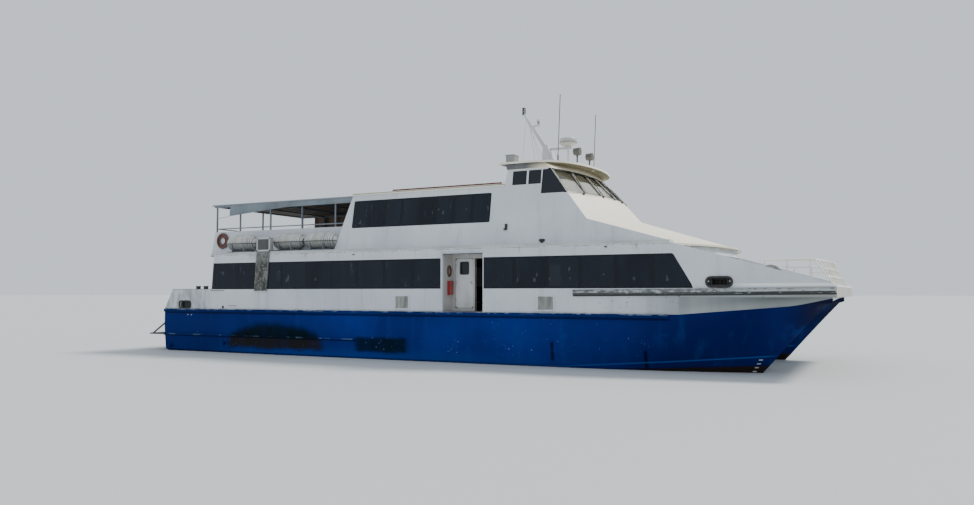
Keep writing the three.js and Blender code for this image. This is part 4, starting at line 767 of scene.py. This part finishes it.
# Painted reflection: pale on the lower part of the panes, dark olive on the upper part under the visor
pale_reflection = screen.step(screen.z + (screen.noise(1.1, 4) - .5) * .12, 7.2, 7.13)
screen.done(screen.mix(pale_reflection, (.085, .082, .056), (.5, .51, .46)), None, screen.noise(.8, 2), .003,
            .62 + .12 * screen.noise(3, 4))
dress("wheelhouse_glass", screen, "clear_glass", smooth=25)
mullion_alloy = mottled("mullion_alloy", (.34, .335, .3), (.2, .2, .18), (6, 4), None, .45, (30, 2), .0005,
                        Metallic=.2)


def visor_finish():
    """An olive cove, darkened towards the rim above it by painted shade, and a dark grey of painted shade where it runs
    aft along the side; the lip below it, the rim and the roof above are cream, and the whips that stand on the roof are
    grey."""
    f = Finish("visor_enamel", Coat_Roughness=.3, Specular_IOR_Level=.35)
    grain, drips = f.noise(6, 5), f.noise(4, 4, (1, 1, .15))
    # Painted shade: the olive darkens towards the rim, and the side fascia aft is shaded grey
    olive = f.mix(f.step(f.z, 7.66, 7.84), (.78, .72, .54), (.36, .325, .22))
    olive = f.mix(f.step(f.noise(1.6, 5), .45, .75) * .35, olive, (.26, .235, .16))
    grey = f.mix(f.step(drips, .4, .7), (.155, .16, .165), (.105, .11, .115))
    crown = f.mix(f.step(f.noise(1, 5), .3, .7), (.92, .89, .77), (.84, .81, .7))
    f.colour = f.mix(f.step(f.x, 3.6, 4.5).most(f.step(abs(f.y), 3.2, 3.1) * f.step(f.x, 3.0, 3.1)), grey, olive)
    f.over(f.within(f.z, 7.602, 7.635, .004), crown)
    f.over(f.step(f.z, 7.866, 7.872), crown)
    f.over(f.step(f.z, 8.03, 8.05), (.1, .105, .11))
    return f.done(f.colour, .42 + .2 * grain, f.noise(2.5, 3), .003)


dress("wheelhouse_roof", visor_finish(), "visor_paint", smooth=30)

# Three flat panes a side, 3 cm inside the inclined plate, each in a rubber seal that runs round its cut edge.
panes, seals = [], []
for hole, cut in (([(3.198, 6.998), (3.807, 6.998), (3.807, 7.562), (3.198, 7.562)],
                   [(3.2, 7.0), (3.805, 7.0), (3.805, 7.56), (3.2, 7.56)]),
                  ([(3.888, 6.998), (4.427, 6.998), (4.427, 7.562), (3.888, 7.562)],
                   [(3.89, 7.0), (4.425, 7.0), (4.425, 7.56), (3.89, 7.56)]),
                  ([(4.457, 6.597), (5.494, 6.597), (4.801, 7.563), (4.477, 7.563)],
                   [(4.46, 6.6), (5.49, 6.6), (4.8, 7.56), (4.48, 7.56)])):
    y_pane = .03 - upper_side_y(np.array(hole)[:, 1])
    panes.append(slab(hole, 1, y_pane, y_pane + .008))
    flat = np.array(cut)
    along = np.linspace(0, 1, 6, endpoint=False)[None, :, None]
    walk = (flat[:, None] * (1 - along) + np.roll(flat, -1, 0)[:, None] * along).reshape(-1, 2)
    seals.append(tube(np.stack([walk[:, 0], .012 - upper_side_y(walk[:, 1]), walk[:, 1]], 1), .011, 6, True))
piece("wheelhouse_side_panes", both(panes), front_pane, smooth=20)
piece("wheelhouse_pane_seals", both(seals), black)


def on_screen(across, rise, out=0.0):
    """A point of the windscreen's outer face: across runs from -1 to 1 between the sides and rise from 0 at the sill to
    1 at the head; sill and head are bowed like the cabin's front, and joined by straight lines."""
    low, high = 5.57 + .76 * bowed(across), 4.81 + .54 * bowed(across)
    return np.array((low + (high - low) * rise + out, across * (3.48 - .18 * rise), 6.59 + 1.01 * rise))


wipers, edges = [], []
for foot_at, tip_at, reach in ((-.775, -.7, .51), (-.39, -.265, .72), (-.06, .12, .74), (.27, .26, .52),
                               (.6, .66, .6)):
    foot, tip = on_screen(foot_at, .01, .035), on_screen(tip_at, reach, .05)
    wipers += [tube(foot + (tip - foot) * np.linspace(0, 1, 4)[:, None], .014, 6),
               tube(np.stack([on_screen(tip_at - .04, reach - .26, .035), tip - (.012, 0, 0),
                              on_screen(tip_at + .04, reach + .2, .035)]), .013, 6),
               spun([(-.03, 0), (-.03, .04), (.03, .04), (.03, 0)], foot - (.01, 0, .01), 1, 12)]
for low_y, high_y in ((-2.4, -2.12), (-1.32, -1.0), (0, 0), (1.32, 1.0), (2.4, 2.12), (-3.44, -3.28), (3.44, 3.28)):
    for shift in (-.034, .034) if abs(low_y) < 3 else (math.copysign(.005, low_y),):
        edges.append(tube(np.stack([on_screen((low_y + (high_y - low_y) * r + shift) / (3.48 - .18 * r), r, .008)
                                    for r in (.06, .5, .945)]), .007 if abs(low_y) < 3 else .01, 6))
piece("mullion_edges", edges, mullion_alloy)
piece("windscreen_wipers", wipers, black)
sill = np.stack([5.582 + .772 * bowed(abreast), 3.45 * abreast, np.full(41, 6.605)], 1)
piece("windscreen_sill_bead", [tube(sill, .012, 6)], black)
soffit = [spun([(7.858, 0), (7.858, .07), (7.82, .065), (7.8, .03), (7.8, 0)], (5.43, -.32, 0), 2, 18)]
piece("soffit_lamps", soffit, frosted)
lamp_black = paint("searchlight_enamel", (.13, .13, .12), (.07, .07, .065))
for side_name, sign in (("starboard", -1), ("port", 1)):
    body = "searchlight_" + side_name
    dress(body, lamp_black, "steel")
    low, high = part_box(body)
    piece(body + "_lens", [spun([(high.x - .012, 0), (high.x - .012, .085), (high.x - .003, .06), (high.x - .001, 0)],
          (0, sign * .75, 8.63), 0, 24)], frosted, body)

# MAST, RADAR AND STAYS
# A faired housing carries a raked alloy pole with two lamps at its top and one on a bracket before it; the radar
# stands on its own post and arm. Wire stays run down to the roof.
mast_white = paint("mast_enamel", (.62, .64, .66), (.48, .5, .52), streaks=.5)
dress("mast", mast_white, "white_paint")
radome = mottled("radome_shell", (.5, .5, .48), (.33, .335, .32), (3, 5, (1, 1, .3)), (.4, .75), .33, (5, 3),
                 .002, Coat_Roughness=.2)
dress("radar", radome, "radome_plastic")
piece("radome_seam", [hoop((4.23, 0, 9.18), (.38, 0, 0), (0, .38, 0), .006, 40)], black)
stays = [((2.27, 0, 10.37), (2.75, -1.6, 7.96)), ((2.27, 0, 10.37), (2.75, 1.6, 7.96)),
         ((2.37, 0, 10.4), (2.9, -.33, 7.98)), ((2.37, 0, 10.4), (2.9, .33, 7.98))]
wires = [tube(np.array(a) + (np.array(b) - np.array(a)) * np.linspace(0, 1, 3)[:, None], .006, 6) for a, b in stays]
wires += [spun([(b[2] - .02, 0), (b[2] - .02, .03), (b[2] + .03, .02), (b[2] + .09, .012), (b[2] + .09, 0)],
               (b[0], b[1], 0), 2, 10) for _, b in stays]
piece("mast_stays", wires, worn_steel)
bin_parts = [block((2.66, -2.92, 7.952), (3.02, -2.45, 8.3)), block((2.64, -2.94, 8.3), (3.04, -2.43, 8.335))]
bin_parts += [block((2.645, y0, 7.955), (3.035, y0 + .03, 8.3)) for y0 in (-2.84, -2.56)]
bin_parts.append(block((2.72, -2.36, 7.952), (2.94, -2.18, 8.16)))
piece("roof_deck_bin", bin_parts, grey_box, bevel=.006)
glow = mottled("signal_lens", (.05, .05, .05), (.09, .09, .085), (30, 2), relief=(30, 2), Roughness=.15, Alpha=.92)
mast_lamps = [spun([(z0, 0), (z0, .074), (z0 + .01, .079), (z0 + .07, .079), (z0 + .08, .074), (z0 + .08, 0)],
                   (2.15, 0, 0), 2, 20) for z0 in (10.63, 10.79)]
mast_lamps.append(spun([(10.12, 0), (10.12, .062), (10.25, .062), (10.25, 0)], (2.85, 0, 0), 2, 18))
piece("mast_lenses", mast_lamps, glow)
caps = [spun([(z0, 0), (z0, .088), (z0 + .02, .088), (z0 + .03, .07), (z0 + .03, 0)], (2.15, 0, 0), 2, 20)
        for z0 in (10.605, 10.715, 10.765, 10.875)]
piece("mast_lamp_caps", caps, black)

# AFTER DECK, CANOPY AND CURTAINS
# A plated bulwark and tube frame carry a light flat canopy whose brown underside shows its battens.
# The starboard canvas is rolled up and lashed under the edge; the port one hangs down.
dress("aft_bulwark", white_paint, "white_paint", bevel=.006)
frame_paint = paint("frame_enamel", (.22, .245, .285), (.15, .17, .2))
dress("canopy_frame", frame_paint, "steel", bevel=.008)
panel = Finish("canopy_board", Specular_IOR_Level=.3)
batten = panel.step(abs((panel.x / .42).fract() - .5), .4, .47)
board = panel.mix(panel.step(panel.noise(2.2, 5, (1, .2, 1)), .35, .7), (.2, .165, .13), (.15, .12, .095))
rim = panel.step(abs(panel.y), 3.215, 3.222).most(panel.step(panel.x, -13.13, -13.14))
board = panel.mix(batten, board, (.065, .052, .042))
board = panel.mix(rim.most(panel.step(panel.z, 7.02, 7.03)), board, (.27, .29, .32))
panel.done(board, .6, batten * -1.0, .004)
dress("canopy_roof", panel, "canopy_panel", bevel=.006)
ribs = [block((x0, -3.2, 6.945), (x0 + .035, 3.2, 6.9695)) for x0 in np.arange(-13.0, -4.7, .42)]
piece("canopy_battens", ribs, panel)


def canvas_finish(name, colour, shade, stripes=0.0):
    """Coated canvas: a fine weave, soft stains and, where asked, darker panels between the seams."""
    f = Finish(name, Sheen_Weight=.25, Specular_IOR_Level=.25)
    weave = (f.x * 900).wave() * (f.z * 900).wave()
    tone = f.mix(f.step(f.noise(1.4, 5, (1, 1, .4)), .32, .7), colour, shade)
    if stripes:
        panels = f.step(abs((f.x / .75).fract() - .5), .22, .28)
        tone = f.mix(panels * stripes, tone, (.075, .045, .032))
    return f.done(tone, .82, weave * .5 + f.noise(3, 4) * 4, .0016)


light_canvas = canvas_finish("canvas_light", (.225, .265, .3), (.165, .195, .22))
dark_canvas = canvas_finish("canvas_brown", (.25, .175, .13), (.17, .12, .09), .5)


def rolled_curtain():
    """A valance with a rolled hem: a skin from the edge of the roof down to the roll, then round it. Across the skin
    the depth waves with two sines that grow downwards; the roll is a circle whose radius swells aft."""
    x_line = np.linspace(-11.98, -4.62, 180)
    foot = np.interp(x_line, [-12.05, -8.54, -4.6], [6.44, 6.72, 6.735])
    t = np.linspace(0, 1, 14)[:, None]
    top = np.interp(x_line, [-11.98, -11.9], [6.8, 6.962])
    radius = .024 - .004 * (x_line + 12) / 8
    z_skin = top + (foot + radius - top) * t
    wave = .5 * np.sin(x_line * 2.3 + 1.3) + .5 * np.sin(x_line * 5.1)
    y_skin = -3.246 - .006 * t ** 1.5 * wave + .01 * np.sin(t * 5.0 + x_line * .9)
    turn = np.linspace(0, 1.75 * np.pi, 12)[1:, None]
    y_roll = y_skin[-1] + radius * (np.cos(turn) - 1)
    z_roll = z_skin[-1] - radius * np.sin(turn)
    y_all, z_all = np.concatenate([y_skin, y_roll]), np.concatenate([z_skin, z_roll])
    y_all = np.clip(y_all, -3.275, -3.208)
    return np.stack([np.broadcast_to(x_line, y_all.shape), y_all, z_all], -1)


def hanging_curtain():
    """A curtain let down from the edge of the roof: two sines along it make folds that grow downwards."""
    x_line = np.linspace(-12.08, -4.62, 260)
    t = np.linspace(0, 1, 24)[:, None]
    fold = np.sin(x_line * 8.4) * .55 + np.sin(x_line * 3.1 + .6) * .45
    y_hang = 3.2335 + .016 * (.25 + .75 * t) * fold
    return np.stack([np.broadcast_to(x_line, y_hang.shape), y_hang, 6.962 - 1.055 * t + 0 * x_line], -1)


def cloth(name, points, finish, node):
    """A skin of canvas 3 mm thick from a grid of points."""
    made = piece(name, [(points.reshape(-1, 3), faces_of(*points.shape[:2]))], finish, stands_for=[node],
                 smooth=80, turn=False)
    wall = made.modifiers.new("thickness", "SOLIDIFY")
    wall.thickness, wall.offset = .003, 0


cloth("rolled_curtain", rolled_curtain(), light_canvas, "curtain_starboard")
cloth("let_down_curtain", hanging_curtain(), dark_canvas, "curtain_port")
buoy, rounds = spun([(-3.2685, .3), (-3.2685, .355), (-3.25, .375), (-3.235, .355), (-3.235, .18), (-3.25, .155),
                     (-3.2685, .18)], (-12.42, 0, 5.26), 1, 40)
piece("bulwark_lifebuoy", both([(buoy, [f for f in rounds if len(f) == 4])]), orange)
piece("lifebuoy_line", both([hoop((-12.42, -3.245, 5.26), (.385, 0, 0), (0, 0, .385), .008)]), light_canvas)
lash = [tube([(-12.72, -3.245, 6.367), (-12.4, -3.247, 6.392), (-12.02, -3.245, 6.434)], .008, 6)]
piece("curtain_lashing", both(lash), black)

# LIFE RAFTS
# Ribbed glass-fibre canisters in two halves, strapped in steel cradles on the side deck, three a side.


def raft_shell(x0):
    """A barrel about the ship's X axis: radius over length is a super-ellipse with shallow ribs every 90 mm,
    and a raised seam at mid height, where the radius gains a narrow bell of the angle."""
    s = np.linspace(-1, 1, 121)[:, None]
    along = .83 * np.sin(s * np.pi / 2)
    form = .368 * (1 - np.abs(along / .835) ** 5.0) ** .42
    ribs_on = np.clip((.66 - np.abs(along)) / .08, 0, 1)
    ribbed = form + .011 * ribs_on * np.clip(np.sin((along + x0) * 2 * np.pi / .09) * 2, -1, 1)
    a = np.linspace(0, 2 * np.pi, 40, endpoint=False)[None, :]
    seam = .016 * (np.exp(-(a / .06) ** 2) + np.exp(-((a - np.pi) / .06) ** 2) + np.exp(-((a - 2 * np.pi) / .06) ** 2))
    r = np.minimum(ribbed + seam * (form > .2), .388)
    points = np.stack([x0 + along + 0 * a, -3.86 + r * np.cos(a), 5.06 + r * np.sin(a)], -1)
    return points.reshape(-1, 3), closed_rings(*points.shape[:2])


raft_white = Finish("raft_gelcoat", Coat_Roughness=.2)
raft_dirt = raft_white.step(raft_white.noise(4, 6, (1, 1, .3)), .42, .72)
raft_top = raft_white.step(raft_white.z, 4.95, 5.15)
# Painted shade in the troughs between the ribs, and a dark line just under the raised seam
rib_shade_and_seam_line = raft_white.step((raft_white.x * (2 * math.pi / .09)).wave(), -.1, -.7) * .7
rib_shade_and_seam_line = rib_shade_and_seam_line.most(raft_white.within(raft_white.z, 5.005, 5.035, .012) * .95)
raft_tone = raft_white.mix(raft_dirt * (1 - .5 * raft_top), (.7, .7, .67), (.38, .38, .36))
# Painted shade darkens the lower half of each raft
raft_tone = raft_white.mix((1 - raft_top) * .62, raft_tone, (.11, .115, .115))
raft_white.done(raft_white.mix(rib_shade_and_seam_line, raft_tone, (.07, .07, .068)),
                .35 + .2 * raft_white.noise(7, 4), raft_white.noise(20, 3), .001)
raft_at = (-10.5, -7.7, -5.93)
a = np.linspace(-np.pi, 0, 15)
arc = np.stack([-3.86 + .385 * np.cos(a), 5.06 + .385 * np.sin(a)], 1)
saddle = np.concatenate([arc, [(-3.5, 4.62), (-4.22, 4.62)]])
cradle, bands = [], []
for x0 in raft_at:
    for dx in (-.35, .35):
        cradle.append(slab(saddle, 0, x0 + dx - .015, x0 + dx + .015))
        bands.append(hoop((x0 + dx + .07, -3.86, 5.06), (0, .384, 0), (0, 0, .384), .008, 32))
for y0 in (-4.14, -3.58):
    cradle.append(block((-11.1, y0 - .028, 4.602), (-5.39, y0 + .028, 4.64)))
    cradle += [block((x0 - .72, y0 - .02, 4.64), (x0 + .72, y0 + .02, 4.665)) for x0 in raft_at]
piece("raft_shells", both([raft_shell(x0) for x0 in raft_at]), raft_white,
      stands_for=["life_rafts_starboard", "life_rafts_port"], smooth=50)
piece("raft_cradles", both(cradle), frame_paint)
piece("raft_bands", both(bands), raft_white)

# VENT TRUNKS
# Welded sheet casings up the side, with a framed louvre head on the ledge; exhaust soot has darkened the trunk.
trunk = Finish("sooty_trunk", Specular_IOR_Level=.35)
soot = trunk.step(trunk.noise(2.6, 6, (1, 1, .5)), .28, .62)
trunk.colour = trunk.mix(soot, (.22, .22, .195), (.045, .05, .046))
trunk.over(trunk.step(trunk.z, 3.9, 4.55) * .6, (.25, .265, .25))
trunk.over(trunk.step(trunk.z, 3.3, 2.85) * .5, (.035, .042, .048))
tilt = trunk.x - (trunk.z - 2.81) * .075
edges_on = trunk.step(tilt, -8.5, -8.46).most(trunk.step(tilt, -9.1, -9.13)) * trunk.step(trunk.z, 4.6, 4.58)
trunk.over(edges_on * .4, (.3, .31, .3))
speckle = trunk.noise(15.0, 4)
trunk.over(trunk.step(speckle, .55, .66) * .6, (.34, .34, .29))
trunk.over(trunk.step(speckle, .45, .36) * .7, (.03, .034, .032))
trunk.over(trunk.step(trunk.z, 4.6, 4.62) * .8, (.27, .275, .27))
trunk.done(trunk.colour, .65, trunk.noise(8, 4), .003)
dress_pair("vent_trunk_", trunk, "louvre_paint", bevel=.008)
slots = [slab([(-4.5685, z0), (-4.5605, z0), (-4.5605, z0 + .03)], 0, -8.94, -8.32)
         for z0 in np.arange(4.7, 5.12, .045)]
heads = [block((x0, -4.576, 4.61), (x0 + .05, -4.56, 5.22)) for x0 in (-9.01, -8.3)]
heads += [block((-9.01, -4.576, 5.165), (-8.25, -4.56, 5.22)), block((-9.01, -4.576, 4.61), (-8.25, -4.56, 4.665)),
          block((-9.025, -4.58, 5.215), (-8.235, -4.33, 5.235)), block((-9.17, -4.568, 2.8), (-8.42, -4.5, 2.835))]
piece("vent_head_frames", both(heads), mast_white)
piece("vent_head_louvres", both(slots), black)

# BOW RAIL, WINDLASS, BITTS AND STERN PLATFORMS
# Welded alloy tube rails; a painted anchor windlass; twin mooring posts; open boarding platforms on brackets.
dress("bow_rail", paint("rail_enamel", (.86, .85, .78), (.68, .67, .61)), "white_paint", smooth=50)
dress("windlass", paint("machinery_grey", (.2, .22, .22), (.12, .13, .13), rough=.5), "steel", bevel=.01)
drums = [spun([(y0, 0), (y0, .235), (y0 + .03, .235), (y0 + .045, .15), (y0 + .1, .15), (y0 + .115, .235),
               (y0 + .13, .235), (y0 + .13, 0)], (12.45, 0, 3.5), 1, 24) for y0 in (-.85, .72)]
drums += [spun([(y0, 0), (y0, .31), (y0 + .02, .31), (y0 + .02, 0)], (12.45, 0, 3.5), 1, 28)
          for y0 in (-.32, -.01, .3)]
piece("windlass_drums", drums, worn_steel)
bitt_paint = paint("bitt_enamel", (.1, .105, .11), (.05, .052, .055), rough=.5)
for side_name in ("starboard", "port"):
    dress("mooring_bitts_" + side_name, bitt_paint, "steel", smooth=40)
    dress("stern_platform_" + side_name, bitt_paint, "steel", smooth=30)
caps = [spun([(3.079, 0), (3.079, .128), (3.05, .128), (3.04, .11), (3.04, 0)], (x0, -3.55, 0), 2, 22)
        for x0 in (-13.65, -13.15)]
piece("bitt_caps", both(caps), bitt_paint)
grate = [block((x0, -4.28, .8005), (x0 + .018, -1.92, .8085)) for x0 in np.arange(-16.03, -14.88, .075)]
piece("platform_grating", both(grate), steel)

# SEATS AND DECK COVERING
# Rows of two-part airline seats, crowned foam cushions under a woven cover on steel legs, on dark carpet.
cloth_blue = Finish("seat_weave", Sheen_Weight=.3, Specular_IOR_Level=.2)
weave = (cloth_blue.x * 700).wave() * (cloth_blue.y * 700).wave()
cloth_blue.done(cloth_blue.mix(cloth_blue.step(cloth_blue.noise(24, 3), .4, .6), (.03, .05, .115), (.05, .075, .15)),
                .88, weave, .0006)
carpet = mottled("deck_carpet", (.035, .04, .055), (.06, .06, .072), (40, 3), None, .95, (300, 2), .002,
                 Specular_IOR_Level=.15)


def cushions(centre, half, lean):
    """Many crowned pads at once, each a super-ellipsoid: x, y and z follow signed powers of the cosine and sine of two
    angles, so that flat faces meet in soft corners. lean tips a pad aft by that much for each metre of height."""
    u = np.linspace(-np.pi / 2, np.pi / 2, 7)[:, None]
    v = np.linspace(-np.pi, np.pi, 12, endpoint=False)[None, :]

    def soft(value, power):
        return np.sign(value) * np.abs(value) ** power

    form = np.stack([soft(np.cos(u), .45) * soft(np.cos(v), .45) + 0 * v, soft(np.cos(u), .45) * soft(np.sin(v), .45),
                     soft(np.sin(u), .45) + 0 * v], -1)
    centre, half = np.asarray(centre, float), np.asarray(half, float)
    points = centre[:, None, None] + form * half
    points[..., 0] -= lean * (points[..., 2] - centre[:, None, None, 2])
    one = faces_of(7, 12, False, True)
    faces = (one[None] + (np.arange(len(centre)) * 7 * 12)[:, None, None]).reshape(-1, 4)
    return points.reshape(-1, 3), faces


def seat_places(runs, floor, half, aisle, wide):
    """Cushion origins and how far apart they are across: rows step aft from each run's fore end, and seats of about
    the given width fill both sides of the centre aisle."""
    count = round((half - aisle) / wide)
    pitch = (half - aisle) / count
    across = aisle + pitch * (np.arange(count) + .5)
    across = np.concatenate([-across[::-1], across])
    places = []
    for a, b in runs:
        gx, gy = np.meshgrid(np.arange(b - .48, a + .09, -.88), across, indexing="ij")
        places.append(np.stack([gx.ravel(), gy.ravel(), np.full(gx.size, floor)], 1))
    return np.concatenate(places), pitch


for name, runs, floor_z, half, aisle in (("seats_main", ((-11.2, .3), (2.9, 9.7)), 2.0, 4.25, .5),
                                        ("seats_upper", ((-3.9, 2.6),), 4.6, 3.4, .45)):
    spot, wide = seat_places(runs, floor_z, half, aisle, .54)
    base = cushions(spot + (.275, 0, .375), (.205, wide / 2 - .012, .048), 0.0)
    back = cushions(spot + (.045, 0, .74), (.045, wide / 2 - .012, .31), .19)
    made = piece(name + "_cushions", [base, back], cloth_blue, stands_for=[name], smooth=60)
    rows = np.unique(np.round(spot[:, 0], 3))
    legs = []
    for x0 in rows:
        for sign in (-1, 1):
            y0, y1 = sorted((sign * (aisle + .02), sign * (half - .02)))
            legs.append(block((x0 + .1, y0, floor_z + .29), (x0 + .42, y1, floor_z + .325)))
            legs += [block((x0 + .18, y - .02, floor_z + .025), (x0 + .34, y + .02, floor_z + .29))
                     for y in (y0 + .25, (y0 + y1) / 2, y1 - .25)]
    piece(name + "_legs", legs, steel)
    cover = [block((a, -half, floor_z + .001), (b, half, floor_z + .022)) for a, b in runs]
    cover.append(block((runs[0][0], -aisle - .1, floor_z + .001), (runs[-1][1], aisle + .1, floor_z + .0225)))
    piece(name + "_carpet", cover, carpet)

# WHEELHOUSE FITTINGS
# Steering console with sloped instrument faces and dark screens, wheel and levers, and two padded helm chairs.
plastic = mottled("console_moulding", (.055, .058, .06), (.085, .087, .088), (5, 4), None, .6, (120, 2), .0008,
                  Specular_IOR_Level=.3)
dress("helm", plastic, "console_plastic", smooth=30, bevel=.012)
screens = [slab([(5.29, 6.293), (5.56, 6.456), (5.554, 6.466), (5.284, 6.303)], 1, y0, y0 + .42)
           for y0 in (-1.4, -.8, -.2, .4, 1.0)]
screen_glass = mottled("screen_glass", (.008, .012, .014), (.014, .022, .026), (9, 2), relief=(5, 2), depth=.0005,
                       Roughness=.12)
piece("helm_screens", screens, screen_glass)
wheel = [hoop((5.2, -.8, 6.22), (0, .19, 0), (.08, 0, .17), .014, 28, 8),
         tube([(5.2, -.8, 6.22), (5.31, -.8, 6.16)], .02, 8), tube([(5.2, -.98, 6.22), (5.2, -.62, 6.22)], .01, 6)]
piece("helm_wheel", wheel, black)
chairs = cushions(np.array([(4.56, y0, 6.075) for y0 in (-.8, .8)]), (.21, .24, .05), 0)
chair_backs = cushions(np.array([(4.345, y0, 6.4) for y0 in (-.8, .8)]), (.045, .23, .28), .13)
helm_pads = piece("helm_chair_pads", [chairs, chair_backs], cloth_blue, smooth=60)

# PROPELLERS, SHAFT BRACKETS AND RUDDERS
# Cast bronze screws, dulled green in patches, on steel shafts in welded brackets, with balanced plate rudders
# behind them; brackets and rudders have the antifouling of the hulls.
bronze = mottled("cast_bronze", (.4, .25, .1), (.16, .17, .1), (9, 5), (.4, .7), (.35, .3, 12, 4), Metallic=.85)
primer = paint("antifouling", (.075, .018, .014), (.04, .02, .013), rough=.7)
for side_name in ("starboard", "port"):
    dress("propeller_" + side_name, bronze, "bronze")
    dress("shaft_bracket_" + side_name, primer, "steel")
    dress("rudder_" + side_name, primer, "steel", smooth=30)

low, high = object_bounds()
